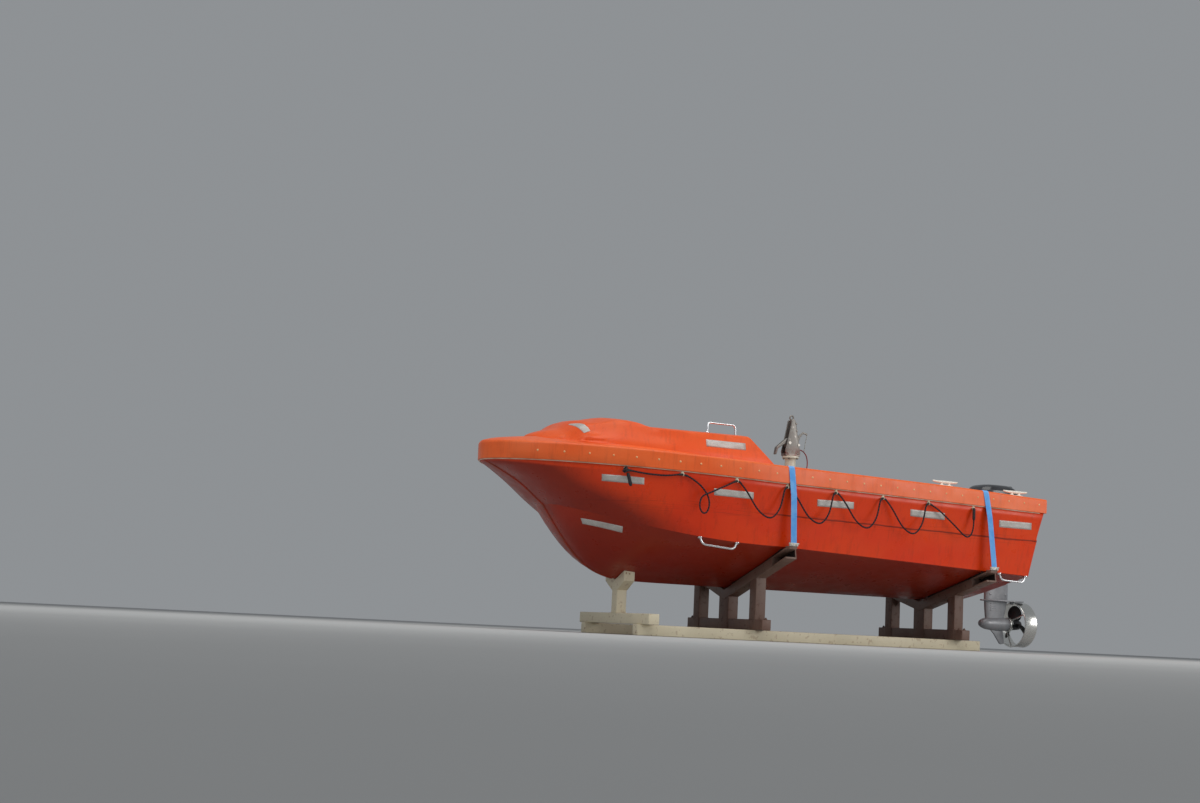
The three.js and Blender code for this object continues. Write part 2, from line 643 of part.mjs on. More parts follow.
// Cradle: two base rails, two V frames with rubber pads, and a rest under the forefoot.
const BASE = { x0: -1990, x1: 1160, y: 420, side: 80 };
place(
  "base_tie",
  block(-BASE.side / 2, BASE.side / 2, -BASE.y + 40 + GAP, BASE.y - 40 - GAP, 0, BASE.side),
  FINISH.cream,
);
for (const [side, sign] of [["port", 1], ["starboard", -1]])
  place(
    "base_rail_" + side,
    block(BASE.x0, BASE.x1, sign * BASE.y - BASE.side / 2, sign * BASE.y + BASE.side / 2, 0, BASE.side),
    FINISH.cream,
  );
const CROSS = { half: 560, height: 80, post: 45 };
for (const name of ["fore", "aft"]) {
  const x = FRAME_X[name];
  const chine = levelAt(LEVELS[3], x);
  const keel = levelAt(LEVELS[0], x)[1];
  const lift = ARM.pad + 6;
  const slope = (chine[1] - keel) / chine[0];
  const armTop = (y) => keel - lift + slope * y;
  const drop = ARM.thick;
  const z0 = BASE.side + GAP;
  const [x0, x1] = [x - ARM.width / 2, x + ARM.width / 2];
  const vee = [
    [0, armTop(0)], [ARM.tip, armTop(ARM.tip)], [ARM.tip + 14, armTop(ARM.tip) - drop],
    [0, armTop(0) - drop],
  ].reverse();
  const arm = prismX(vee, x0, x1);
  const pocket = prismX(
    [
      [ARM.tip - 170, armTop(ARM.tip - 170) - 10], [ARM.tip + 60, armTop(ARM.tip + 60) - 10],
      [ARM.tip + 60, armTop(ARM.tip + 60) - drop + 10], [ARM.tip - 170, armTop(ARM.tip - 170) - drop + 10],
    ].reverse(), x0 + 10, x1 + 5,
  );
  const bracket = block(x - 34, x + 34, ARM.tip - 20, STRAP.foot - 1, armTop(ARM.tip) - 8, tipZ(x) - 14);
  const half = unite(arm.subtract(pocket), bracket);
  const cross = block(x - 40, x + 40, -CROSS.half, CROSS.half, z0, z0 + CROSS.height);
  const posts = [-1, 1].map((s) =>
    block(x - CROSS.post, x + CROSS.post, s * BASE.y - CROSS.post, s * BASE.y + CROSS.post, z0, armTop(BASE.y) - 20));
  const saddle = block(x - CROSS.post, x + CROSS.post, -70, 70, z0, armTop(0) - 20);
  place("cradle_frame_" + name, unite(half, mirrored(half), cross, saddle, ...posts), FINISH.cradle);

  const lowered = hullSkin.translate(0, 0, -GAP);
  const padShape = [
    [110, armTop(110) + GAP], [790, armTop(790) + GAP], [790, armTop(790) + 60], [110, armTop(110) + 60],
  ];
  const pad = largest(prismX([...padShape].reverse(), x0 + 4, x1 - 4).subtract(lowered));
  place("cradle_pad_" + name + "_port", pad, FINISH.rubber);
  place("cradle_pad_" + name + "_starboard", mirrored(pad), FINISH.rubber);
}
const REST = { x: 1080, half: 45, post: 480 };
const restForm = unite(
  block(REST.x - REST.half, REST.x + REST.half, -CROSS.half, CROSS.half, BASE.side + GAP, BASE.side + 80),
  block(REST.x - REST.half, REST.x + REST.half, -REST.half, REST.half, BASE.side + GAP, 400),
  prismX(
    [[-150, REST.post], [-150, 400], [-40, 330], [40, 330], [150, 400], [150, REST.post]],
    REST.x - REST.half, REST.x + REST.half,
  ),
).subtract(hullSkin.translate(0, 0, -GAP));
place("bow_rest", largest(restForm), FINISH.cream);

// Outboard motor. The tilt pin lies across the boat, the steering axis is upright at rest.
const TILT = { x: -2318, z: 1000, pin: 12 };
const STEER_X = -2378;
const transomX = (z) => STERN + (JOINT.zStern - z) * RAKE;
const clampHook = [
  [NOTCH.wall + GAP, 850], [NOTCH.wall + 20, 850], [NOTCH.wall + 20, 986], [-2296, 986],
  [transomX(740) - 40, 740], [transomX(740) - GAP, 740], [transomX(NOTCH.floor) - GAP, NOTCH.floor + GAP],
  [NOTCH.wall + GAP, NOTCH.floor + GAP],
];
const ear = [[-2286, 960], [-2352, 972], [-2352, 1030], [-2290, 1030]];
place(
  "motor_clamp",
  unite(
    prismY(clampHook.slice().reverse(), -110, 110),
    prismY(ear.slice(), 78, 104),
    prismY(ear.slice(), -104, -78),
  ).subtract(rod(TILT.pin + 0.5, -120, 120, "y", [TILT.x, 0, TILT.z])),
  FINISH.grey,
);
place(
  "motor_swivel",
  unite(
    rod(26, -76, 76, "y", [TILT.x, 0, TILT.z]),
    rod(TILT.pin, -108, 108, "y", [TILT.x, 0, TILT.z]),
    rod(31, 716 + GAP, 1056 - GAP, "z", [STEER_X, 0, 0], 24),
    block(STEER_X, TILT.x, -30, 30, 966, 1022),
  ),
  FINISH.grey,
);

// Cowl sections. Columns: z, x of its front, x of its back, half width.
const COWL_ROWS = [
  [1091.5, -2330, -2600, 118], [1126, -2282, -2650, 150], [1180, -2250, -2668, 164],
  [1312, -2252, -2664, 160], [1372, -2272, -2636, 146], [1400, -2320, -2570, 104],
];
const oval = (a, b, power, count) =>
  Array.from({ length: count }, (_, i) => {
    const t = (2 * Math.PI * i) / count;
    const [c, s] = [Math.cos(t), Math.sin(t)];
    return [a * Math.sign(c) * Math.abs(c) ** (2 / power), b * Math.sign(s) * Math.abs(s) ** (2 / power)];
  });
const cowl = loft(
  COWL_ROWS.map(([z, front, back, half]) =>
    oval((front - back) / 2, half, 3.2, 24).map(([a, b]) => [(front + back) / 2 + a, b, z])),
);
place("motor_cowl", cowl, FINISH.dark);

// Leg sections. Columns: z, x of its front, x of its back, half width.
const LEG_ROWS = [
  [1091, -2350, -2600, 92], [1056.6, -2330, -2600, 92], [1056, -2418, -2610, 66],
  [900, -2420, -2625, 52], [680, -2416, -2640, 42], [620, -2396, -2636, 38], [440, -2394, -2640, 30],
  [270, -2410, -2596, 26],
];
const PROP = { z: 234, x: -2740, r: 164, hub: 46 };
const COLLAR = { x0: -2664, x1: -2636, bore: 54, wall: 8 };
const RING = { x0: -2812, x1: -2686, inner: 176, outer: 188 };
const plateZ = PROP.z + RING.outer + GAP;
const plateHalf = [[-2350, 0], [-2430, 62], [-2620, 88], [-2760, 70], [-2790, 0]];
const plate = prismZ(
  [...plateHalf, ...plateHalf.slice(1, -1).reverse().map(([x, y]) => [x, -y])], plateZ, plateZ + 12,
);
const skeg = prismY([[-2452, 202], [-2582, 202], [-2612, 68], [-2572, 64]], -7, 7);
const torpedo = turned(
  [
    [0, -2680], [44, -2680], [COLLAR.bore, -2668], [COLLAR.bore, -2632], [58, -2532], [48, -2412],
    [26, -2357], [0, -2340],
  ], "x",
  [0, 0, PROP.z],
);
const leg = unite(
  loft(LEG_ROWS.map(([z, front, back, half]) =>
    oval((front - back) / 2, half, 2.4, 20).map(([a, b]) => [(front + back) / 2 + a, b, z])).reverse()),
  block(STEER_X - 60, STEER_X + 34, -34, 34, 1056, 1080),
  block(STEER_X - 90, STEER_X + 34, -34, 34, 690, 716),
  plate, skeg, torpedo,
);
place("motor_leg", leg, FINISH.grey);

const ringAt = [0, 0, PROP.z];
const [collarIn, collarOut] = [COLLAR.bore + GAP, COLLAR.bore + COLLAR.wall];
const collar = turned(
  [
    [collarIn, COLLAR.x0], [collarOut, COLLAR.x0], [collarOut, COLLAR.x1], [collarIn, COLLAR.x1],
    [collarIn, COLLAR.x0],
  ], "x", ringAt,
);
const ringBand = turned(
  [[RING.inner, RING.x0], [RING.outer, RING.x0], [RING.outer, RING.x1], [RING.inner, RING.x1], [RING.inner, RING.x0]],
  "x", ringAt, 40,
);
const strut = [
  [COLLAR.x1 - 2, COLLAR.bore + 4], [COLLAR.x0, COLLAR.bore + 4], [RING.x1 - 14, RING.inner + 4],
  [RING.x1 + 12, RING.inner + 4],
];
const arms = [60, 180, 300].map((angle) =>
  prismY(strut, -4, 4).rotate([angle, 0, 0]).translate(0, 0, PROP.z));
place("prop_guard", unite(ringBand, collar, ...arms), FINISH.steel);

// Propeller: hub and three twisted blades. Columns: radius, chord, blade angle in degrees.
const BLADE_ROWS = [[33, 72, 62], [80, 118, 44], [125, 116, 33], [152, 84, 28], [PROP.r, 30, 26]];
const blade = loft(
  BLADE_ROWS.map(([r, chord, angle]) => {
    const thick = lerp(7, 2.5, r / PROP.r);
    return [[-0.5, 0], [0, 0.5], [0.5, 0], [0, -0.5]].map(([c, t]) => {
      const [along, across] = [c * chord, t * thick * 2];
      return [
        along * Math.sin(rad(angle)) + across * Math.cos(rad(angle)),
        along * Math.cos(rad(angle)) - across * Math.sin(rad(angle)),
        r,
      ];
    });
  }),
);
const hub = turned([[0, -46], [26, -42], [40, -20], [PROP.hub, 59.5], [0, 59.5]], "x", [0, 0, 0]);
place(
  "propeller",
  unite(hub, ...[0, 120, 240].map((angle) => blade.rotate([angle + 7, 0, 0]))).translate(PROP.x, 0, PROP.z),
  FINISH.steel,
);

export default root;
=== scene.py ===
# A rigid rescue boat with a low bow cuddy, lashed on its deck cradle, dressed over its solids.
# Metres. +X points to the bow, +Y to port, +Z up, and the floor under the cradle is z = 0.
import math
from types import SimpleNamespace

import bmesh
import bpy
from mathutils import Matrix, Vector


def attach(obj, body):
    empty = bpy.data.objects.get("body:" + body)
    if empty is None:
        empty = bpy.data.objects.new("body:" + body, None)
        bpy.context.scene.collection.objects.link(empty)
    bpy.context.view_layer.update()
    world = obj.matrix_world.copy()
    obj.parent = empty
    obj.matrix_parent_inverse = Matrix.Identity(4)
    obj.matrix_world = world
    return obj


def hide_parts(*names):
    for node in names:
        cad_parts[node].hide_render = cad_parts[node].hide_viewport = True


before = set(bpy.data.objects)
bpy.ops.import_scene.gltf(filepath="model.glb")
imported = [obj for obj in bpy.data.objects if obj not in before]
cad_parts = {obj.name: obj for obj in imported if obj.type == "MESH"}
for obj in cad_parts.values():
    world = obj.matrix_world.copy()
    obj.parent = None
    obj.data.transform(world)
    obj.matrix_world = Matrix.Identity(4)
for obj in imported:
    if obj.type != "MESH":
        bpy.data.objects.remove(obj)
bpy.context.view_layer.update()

# The camera stands on the floor off the port bow and looks up along the boat, as the photograph
# does. Its place, turn and lens were fitted to points on the hull, hook, straps and rails.
EYE = Vector((7.46, 12.1, 0.03))
EYE_YAW = math.radians(-116.9032)
EYE_PITCH = math.radians(7.202)
EYE_ROLL = math.radians(2.7306)
FOCAL_PX = 1801.36
PHOTO_WIDTH_PX = 1200


def started(name, add, **sizes):
    """A new object from one of Blender's add operators, with nothing else selected."""
    bpy.ops.object.select_all(action="DESELECT")
    add(**sizes)
    made = bpy.context.active_object
    made.name = name
    return made


camera = started("photo_camera", bpy.ops.object.camera_add)
ahead = Vector((
    math.cos(EYE_YAW) * math.cos(EYE_PITCH), math.sin(EYE_YAW) * math.cos(EYE_PITCH), math.sin(EYE_PITCH)))
level_right = ahead.cross(Vector((0, 0, 1))).normalized()
level_up = level_right.cross(ahead)
right = level_right * math.cos(EYE_ROLL) + level_up * math.sin(EYE_ROLL)
up = level_up * math.cos(EYE_ROLL) - level_right * math.sin(EYE_ROLL)
turn = Matrix((right, up, -ahead)).transposed()
camera.matrix_world = Matrix.Translation(EYE) @ turn.to_4x4()
camera.data.sensor_fit = "HORIZONTAL"
camera.data.sensor_width = 36.0
camera.data.lens = camera.data.sensor_width * FOCAL_PX / PHOTO_WIDTH_PX
camera.data.clip_end = 200
bpy.context.scene.camera = camera

# The hull's lines: level lines from the keel (share 0) over the chine (1) to the joint with the
# deck (2). They place the hull skin, and everything that is fixed to the topside reads them.
STERN_X = -2.25
TRANSOM_RAKE = 0.13
STERN_TAPER = 0.022
KEEL_RISE = SimpleNamespace(start=-1.7, over=0.5, height=0.026)
PLAN_POWER = 2.2
# Columns: share, half beam amidships, x where the bow curve starts, x and z at the stem, z at the
# transom, z at the start of the bow curve, power of the rise to the stem, q of the plan curve.
LEVELS = [
    (0.0, 0.0, 0.1, 1.097, 0.408, 0.4, 0.4, 8, 2.4), (0.33, 0.268, 0.15, 1.355, 0.488, 0.462, 0.49, 6, 2.4),
    (0.67, 0.544, 0.14, 1.55, 0.656, 0.534, 0.588, 4, 2.4),
    (1.0, 0.812, 0.19, 1.761, 0.934, 0.607, 0.698, 2.2, 2.0),
    (1.33, 0.844, 0.24, 1.89, 1.032, 0.776, 0.854, 2, 2.4),
    (1.67, 0.88, 0.28, 2.01, 1.11, 0.946, 1.01, 1.6, 2.3),
    (2.0, 0.925, 0.3, 2.262, 1.229, 1.115, 1.164, 1, 1.7)]
CHINE = LEVELS[3]
JOINT = LEVELS[-1]


def mix(a, b, t):
    return a + (b - a) * t


def level_at(level, x):
    """Half beam and height of a level line at x."""
    share, half, bow_start, stem_x, stem_z, z_stern, z_bow, rise, q = level
    if x <= bow_start:
        t = (x - STERN_X) / (bow_start - STERN_X)
        aft = max(0.0, KEEL_RISE.start - x) / KEEL_RISE.over
        lift = KEEL_RISE.height * aft**2 * max(0.0, 1 - share)
        return half * (1 - STERN_TAPER * (1 - t) ** 2), mix(z_stern, z_bow, t) + lift
    u = min(1.0, (x - bow_start) / (stem_x - bow_start))
    return half * max(0.0, 1 - u**PLAN_POWER) ** (1 / q), z_bow + (stem_z - z_bow) * u**rise


def hull_side(x, z):
    """Half beam of the hull's skin at x and height z."""
    rows = [level_at(level, x) for level in LEVELS]
    for (y0, z0), (y1, z1) in zip(rows, rows[1:]):
        if z <= z1:
            return mix(y0, y1, (z - z0) / (z1 - z0))
    return rows[-1][0]


def joint_z(x):
    return level_at(JOINT, x)[1]


# Grab lines: 12 mm laid black rope, one length along each side, rove through eight fittings and
# hanging between them in loops that give a hold for the hand.
ROPE_D = 0.012
ROPE_STAND = 0.007
FITTING_DROP = 0.03
FITTING_X = (1.462, 1.06, 0.635, 0.205, -0.227, -0.658, -1.09, -1.527)
# How far each bay hangs below its fittings, by number from the bow. The bays lean: a long run
# down from the fore fitting, a round bottom and a steep climb to the aft one.
BAY_DROPS = {0: 0.018, 2: 0.238, 3: 0.24, 4: 0.236, 5: 0.242, 6: 0.222}
SLACK_BAY = ((0.0, 0.0), (0.35, 0.85), (0.7, 0.85))
OPEN_BAY = ((0.0, 0.0), (0.06, 0.045), (0.2, 0.3), (0.44, 0.83), (0.68, 1.0), (0.855, 0.66), (0.938, 0.06))
LAST_BAY = (
    (0.0, 0.0), (0.06, 0.035), (0.25, 0.22), (0.58, 0.66), (0.78, 0.95), (0.88, 1.01), (0.96, 0.88),
    (1.0, 0.58), (1.0, 0.3))


def fitting_at(x):
    z = joint_z(x) - FITTING_DROP
    return Vector((x, hull_side(x, z), z))


# The second bay hangs in a twisted eye: share of the bay, drop, and how far it stands off.
TWISTED_BAY = (
    (0.0, 0.0, 0.0), (0.16, 0.018, 0.0), (0.35, 0.068, 0.0), (0.476, 0.14, 0.002), (0.49, 0.208, 0.006),
    (0.44, 0.256, 0.008), (0.365, 0.258, 0.011), (0.308, 0.214, 0.014), (0.34, 0.142, 0.017),
    (0.52, 0.1, 0.014), (0.78, 0.045, 0.003))


# The rope's bends are eased afterwards, so it starts that much higher at each fitting.
EASING_LIFT = 0.003


def rope_route():
    """Points along the port grab line, in the middle of the rope."""
    out = ROPE_STAND + ROPE_D / 2
    points = []
    for bay, (x0, x1) in enumerate(zip(FITTING_X, FITTING_X[1:])):
        start, end = fitting_at(x0), fitting_at(x1)
        if bay == 1:
            places = TWISTED_BAY
        else:
            shape = SLACK_BAY if bay == 0 else LAST_BAY if bay == 6 else OPEN_BAY
            places = [(t, BAY_DROPS[bay] * share, 0) for t, share in shape]
        for t, sag, stand in places:
            x = mix(x0, x1, t)
            lift = EASING_LIFT if t == 0 and bay > 0 else 0
            z = mix(start.z, end.z, t) - sag + lift
            y = max(mix(start.y, end.y, t), hull_side(x, z)) + out + stand
            points.append(Vector((x, y, z)))
    last = fitting_at(FITTING_X[-1])
    points.append(last + Vector((0, out, 0)))
    return points


def smooth_line(points, step):
    """A smooth line through the points, with a point about every step."""
    line = []
    ends = [2 * points[0] - points[1], *points, 2 * points[-1] - points[-2]]
    for a, b, c, d in zip(ends, ends[1:], ends[2:], ends[3:]):
        count = max(1, round((c - b).length / step))
        for k in range(count):
            t = k / count
            line.append(
                0.5
                * (
                    2 * b + (c - a) * t + (2 * a - 5 * b + 4 * c - d) * t**2
                    + (3 * b - a - 3 * c + d) * t**3))
    line.append(points[-1].copy())
    return line


def placed_grid(name, columns, rows, place):
    """A grid primitive of columns x rows vertices, each one moved to place(column, row)."""
    grid = started(
        name, bpy.ops.mesh.primitive_grid_add, x_subdivisions=columns - 1, y_subdivisions=rows - 1, size=1)
    for index, vertex in enumerate(grid.data.vertices):
        vertex.co = place(index % columns, index // columns)
    return grid


def select_only(piece):
    bpy.ops.object.select_all(action="DESELECT")
    bpy.context.view_layer.objects.active = piece
    piece.select_set(True)


def leave_edit():
    bpy.ops.object.mode_set(mode="OBJECT")


def close_and_smooth(piece, angle=35, merge=0.00005):
    """Merges doubles, turns the faces outwards and smooths what is flatter than the angle."""
    select_only(piece)
    bpy.ops.object.mode_set(mode="EDIT")
    bpy.ops.mesh.select_all(action="SELECT")
    bpy.ops.mesh.remove_doubles(threshold=merge)
    bpy.ops.mesh.dissolve_degenerate(threshold=merge)
    bpy.ops.mesh.select_all(action="SELECT")
    bpy.ops.mesh.delete_loose(use_verts=True, use_edges=True, use_faces=False)
    bpy.ops.mesh.select_all(action="SELECT")
    bpy.ops.mesh.normals_make_consistent(inside=False)
    leave_edit()
    face_outwards(piece)
    bpy.ops.object.shade_smooth_by_angle(angle=math.radians(angle))
    return piece


def face_outwards(piece):
    """Turns over each separate closed body of the mesh that has ended inside out."""
    mesh = bmesh.new()
    mesh.from_mesh(piece.data)
    left = set(mesh.faces)
    while left:
        stack, body = [left.pop()], []
        while stack:
            face = stack.pop()
            body.append(face)
            near = [f for edge in face.edges for f in edge.link_faces if f in left]
            left.difference_update(near)
            stack += set(near)
        closed = all(len(edge.link_faces) > 1 for face in body for edge in face.edges)
        volume = sum(face.calc_area() * face.normal.dot(face.calc_center_median()) for face in body)
        if closed and volume < 0:
            bmesh.ops.reverse_faces(mesh, faces=body)
    mesh.to_mesh(piece.data)
    mesh.free()


def tube(name, line, radius, sides=10):
    """A closed round tube along a line of points, with u round it and v along it. The radius is
    one number, or one for each point."""
    radii = radius if hasattr(radius, "__len__") else [radius] * len(line)
    tangents = [
        (line[min(i + 1, len(line) - 1)] - line[max(i - 1, 0)]).normalized() for i in range(len(line))]
    across = tangents[0].orthogonal().normalized()
    frames = []
    for tangent in tangents:
        across = (across - tangent * across.dot(tangent)).normalized()
        frames.append((across.copy(), tangent.cross(across)))

    def place(column, row):
        at = min(max(row - 1, 0), len(line) - 1)
        if row in (0, len(line) + 1):
            return line[at]
        a = 2 * math.pi * column / sides
        side, over = frames[at]
        return line[at] + (side * math.cos(a) + over * math.sin(a)) * radii[at]

    return close_and_smooth(placed_grid(name, sides + 1, len(line) + 2, place), 60)


def add_node(tree, kind, inputs=None, **settings):
    """One shader node with its settings and inputs; an input is a value or a node's output."""
    made = tree.nodes.new("ShaderNode" + kind)
    for name, value in settings.items():
        setattr(made, name, value)
    for name, value in (inputs or {}).items():
        if isinstance(value, bpy.types.NodeSocket):
            tree.links.new(value, made.inputs[name])
        else:
            made.inputs[name].default_value = value
    return made


def new_finish(name, **uniform):
    """A material with its node tree and its shader, with the shader's uniform numbers set."""
    finish = bpy.data.materials.new(name)
    finish.use_nodes = True
    shader = finish.node_tree.nodes["Principled BSDF"]
    for socket, value in uniform.items():
        shader.inputs[socket.replace("_", " ")].default_value = value
    return finish, finish.node_tree, shader


def coordinates(tree, scale=(1, 1, 1), source="Object"):
    read = add_node(tree, "TexCoord")
    return add_node(tree, "Mapping", {"Vector": read.outputs[source], "Scale": scale}).outputs[0]


def noise(tree, scale, stretch=(1, 1, 1), detail=4.0, rough=0.55, source="Object"):
    return add_node(
        tree, "TexNoise",
        {
            "Vector": coordinates(tree, stretch, source), "Scale": scale, "Detail": detail,
            "Roughness": rough}).outputs["Fac"]


def ramp(tree, fac, low, high, start=0.0, end=1.0):
    """A share that goes from start to end as fac goes from low to high."""
    return add_node(
        tree, "MapRange",
        {"Value": fac, "From Min": low, "From Max": high, "To Min": start, "To Max": end}).outputs["Result"]


def blend(tree, fac, under, over):
    return add_node(tree, "Mix", {0: fac, 6: under, 7: over}, data_type="RGBA").outputs[2]


def maths(tree, operation, *values):
    return add_node(tree, "Math", dict(enumerate(values)), operation=operation).outputs[0]


def product(tree, a, b):
    return maths(tree, "MULTIPLY", a, b)


def parted(tree, vector):
    """The X, Y and Z of a vector, as a node's outputs."""
    return add_node(tree, "SeparateXYZ", {"Vector": vector}).outputs


def bump(tree, shader, height, distance):
    made = add_node(tree, "Bump", {"Height": height, "Distance": distance, "Strength": 1.0})
    tree.links.new(made.outputs[0], shader.inputs["Normal"])


def feed(tree, shader, colour, rough=None):
    tree.links.new(colour, shader.inputs["Base Color"])
    if rough:
        tree.links.new(rough, shader.inputs["Roughness"])


def mottled(name, spots, levels, colours, rough=None, relief=None, stretch=(1, 1, 1), **uniform):
    """A finish of two colours that meet in soft spots: the noise's scale, detail and roughness,
    and where the spots begin and end. Roughness follows them, or spots of its own at a scale
    given first; relief is the scale, detail and height of a fine grain."""
    finish, tree, shader = new_finish(name, **uniform)
    fac = ramp(tree, noise(tree, spots[0], stretch, *spots[1:]), *levels)
    own = rough and len(rough) == 3 and ramp(tree, noise(tree, rough[0]), 0.3, 0.7, *rough[1:])
    feed(
        tree, shader, blend(tree, fac, srgb(*colours[0]), srgb(*colours[1])),
        own or rough and ramp(tree, fac, 0, 1, *rough))
    if relief:
        bump(tree, shader, noise(tree, relief[0], detail=relief[1]), relief[2])
    return finish


def srgb(red, green, blue):
    """A colour read off a screen, from 0 to 255, as the shader's linear values."""
    def linear(c):
        c /= 255
        return c / 12.92 if c <= 0.04045 else ((c + 0.055) / 1.055) ** 2.4
    return (linear(red), linear(green), linear(blue), 1.0)


def fix(piece, finish, body="boat_and_cradle", replaced=()):
    """Gives a finished piece its material, fixes it to its body and hides the parts it replaces."""
    piece.data.materials.clear()
    piece.data.materials.append(finish)
    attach(piece, body)
    if replaced:
        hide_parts(*replaced)
    return piece


def laid_rope(name, colour, light, length, strand):
    """Laid rope: three strands that wind round, each coloured lighter along its crown."""
    finish, tree, shader = new_finish(name, Roughness=0.85, Specular_IOR_Level=0.25)
    apart = parted(tree, add_node(tree, "TexCoord").outputs["UV"])
    around = maths(tree, "ADD", apart["X"], product(tree, apart["Y"], length / strand))
    crown = ramp(tree, maths(tree, "SINE", product(tree, around, 2 * math.pi)), -1, 1)
    fibre = noise(tree, 900, detail=2)
    feed(tree, shader, blend(tree, product(tree, crown, fibre), colour, light))
    bump(tree, shader, crown, 0.0018)
    return finish


ROPE_LENGTH = 4.703
ROPE_STRAND = 0.02
EASING = 8
rope_finish = laid_rope("black_rope", srgb(24, 22, 28), srgb(78, 74, 80), ROPE_LENGTH, ROPE_STRAND)
port_line = smooth_line(rope_route(), 0.008)
for _ in range(EASING):
    eased = [(a + 2 * b + c) / 4 for a, b, c in zip(port_line, port_line[1:], port_line[2:])]
    port_line = [port_line[0], *eased, port_line[-1]]
grab_lines = []
for side, sign in (("port", 1), ("starboard", -1)):
    line = [Vector((p.x, sign * p.y, p.z)) for p in port_line]
    rope = tube("grab_rope_" + side, line, ROPE_D / 2)
    fix(rope, rope_finish, replaced=("grab_line_" + side,))
    grab_lines.append((rope, line))

# The floor is plain and pale, and the light is soft: a big panel high on the port bow side, a
# weaker one from astern, and an even pale surround.
floor = started("studio_floor", bpy.ops.mesh.primitive_plane_add, size=120)
floor_finish, tree, shader = new_finish("studio_floor", Roughness=0.9, Specular_IOR_Level=0.1)
feed(tree, shader, blend(tree, noise(tree, 0.7), srgb(176, 177, 177), srgb(184, 185, 185)))
floor.data.materials.append(floor_finish)

LAMPS = (
    # name, place, size, power, colour
    ("sky_panel", (1.8, 3.6, 10.0), 11.0, 720, (1.0, 0.98, 0.95)),
    ("bow_panel", (9.0, 3.0, 5.0), 4.0, 70, (0.95, 0.98, 1.0)),
    ("stern_panel", (-7.0, 9.0, 3.4), 5.0, 330, (1.0, 0.98, 0.96)),
)
for name, place, size, power, colour in LAMPS:
    lamp = started(name, bpy.ops.object.light_add, type="AREA", location=place)
    lamp.data.size = size
    lamp.data.energy = power
    lamp.data.color = colour
    lamp.rotation_euler = (Vector((0, 0, 0.9)) - Vector(place)).to_track_quat("-Z", "Y").to_euler()
surround = bpy.data.worlds.new("soft_surround")
surround.use_nodes = True
surround.node_tree.nodes["Background"].inputs["Color"].default_value = (0.8, 0.84, 0.88, 1)
surround.node_tree.nodes["Background"].inputs["Strength"].default_value = 0.34
bpy.context.scene.world = surround
bpy.context.scene.view_settings.view_transform = "Standard"

# Hull: one glass laminate moulding with a hard chine and a raked transom, orange gelcoat
# outside. The topside carries rub marks from fenders, a thin painted shadow line as of a small
# step, and a little chalk from the sun; faces that turn downwards are painted darker as shade.
LAMINATE = 0.007
BOTTOM_SHARES = [i / 10 for i in range(11)]
SIDE_SHARES = [1.1, 1.2, 1.3, 1.4, 1.5, 1.6, 1.69, 1.8, 1.9, 2.0]
STRAIGHT_STATIONS = 26
BOW_STATIONS = 44


def cubic_through(points, at):
    """The cubic through four (share, vector) points, at a share."""
    total = Vector((0, 0, 0))
    for i, (si, p) in enumerate(points):
        weight = 1.0
        for j, (sj, _) in enumerate(points):
            if i != j:
                weight *= (at - sj) / (si - sj)
        total += p * weight
    return total


def station_point(level, station):
    """A level line's point at a station, counted from the transom to the stem."""
    aft_x = STERN_X + (JOINT[5] - level_at(level, STERN_X)[1]) * TRANSOM_RAKE
    if station <= STRAIGHT_STATIONS:
        x = mix(aft_x, level[2], station / STRAIGHT_STATIONS)
    else:
        a = (station - STRAIGHT_STATIONS) / BOW_STATIONS * math.pi / 2
        x = mix(level[2], level[3], math.sin(a) ** (2 / PLAN_POWER))
    return Vector((x, *level_at(level, x)))


def hull_point(share, station):
    half = LEVELS[:4] if share <= 1 else LEVELS[3:]
    return cubic_through([(level[0], station_point(level, station)) for level in half], share)


NOTCH_HALF = 0.29
NOTCH_FLOOR = 0.958
TRANSOM_COLUMNS = 2


def hull_place(column, row):
    """The transom's own columns first, from the centre plane out, then the stations."""
    share = HULL_SHARES[row]
    edge = hull_point(share, 0)
    if column == 0:
        return Vector((edge.x, 0, edge.z))
    if column == 1:
        return Vector((edge.x, min(edge.y, NOTCH_HALF), edge.z))
    return hull_point(share, column - TRANSOM_COLUMNS)


def rake_x(z):
    return STERN_X + (JOINT[5] - z) * TRANSOM_RAKE


def transom_corner(c, edge):
    """Whether an edge runs up the corner between the transom and the topside."""
    a, b = (v.co for v in edge.verts)
    on_rake = all(abs(v.x - rake_x(v.z)) < 1e-4 and v.y > 0.02 for v in (a, b))
    return on_rake and abs(a.y - b.y) < 0.08 and abs(a.z - b.z) > 0.002 and c.y > 0.3 and c.z > 0.5


def along_chine(edge, near):
    """Whether both ends of an edge lie this near to the chine's level line."""
    places = [(v.co, level_at(CHINE, v.co.x)) for v in edge.verts]
    return all(abs(abs(co.y) - y) < near and abs(co.z - z) < near for co, (y, z) in places)


def bevel(width, segments):
    bpy.ops.mesh.bevel(offset=width, segments=segments, affect="EDGES", clamp_overlap=True)


def pick(piece, mode, test):
    """Selects the edges or faces for which test(centre, item) is true, in edit mode."""
    if bpy.context.mode != "OBJECT":
        leave_edit()
    select_only(piece)
    bpy.ops.object.mode_set(mode="EDIT")
    bpy.ops.mesh.select_mode(type=mode)
    bpy.ops.mesh.select_all(action="DESELECT")
    shape = bmesh.from_edit_mesh(piece.data)
    for item in shape.edges if mode == "EDGE" else shape.faces:
        if mode == "EDGE":
            centre = (item.verts[0].co + item.verts[1].co) / 2
        else:
            centre = item.calc_center_median()
        item.select_set(bool(test(centre, item)))
    shape.select_flush_mode()
    bmesh.update_edit_mesh(piece.data)


def apply_all(piece):
    select_only(piece)
    for modifier in list(piece.modifiers):
        bpy.ops.object.modifier_apply(modifier=modifier.name)


def give_wall(piece, thickness, offset=-1):
    wall = piece.modifiers.new("wall", "SOLIDIFY")
    wall.thickness, wall.offset = thickness, offset
    apply_all(piece)


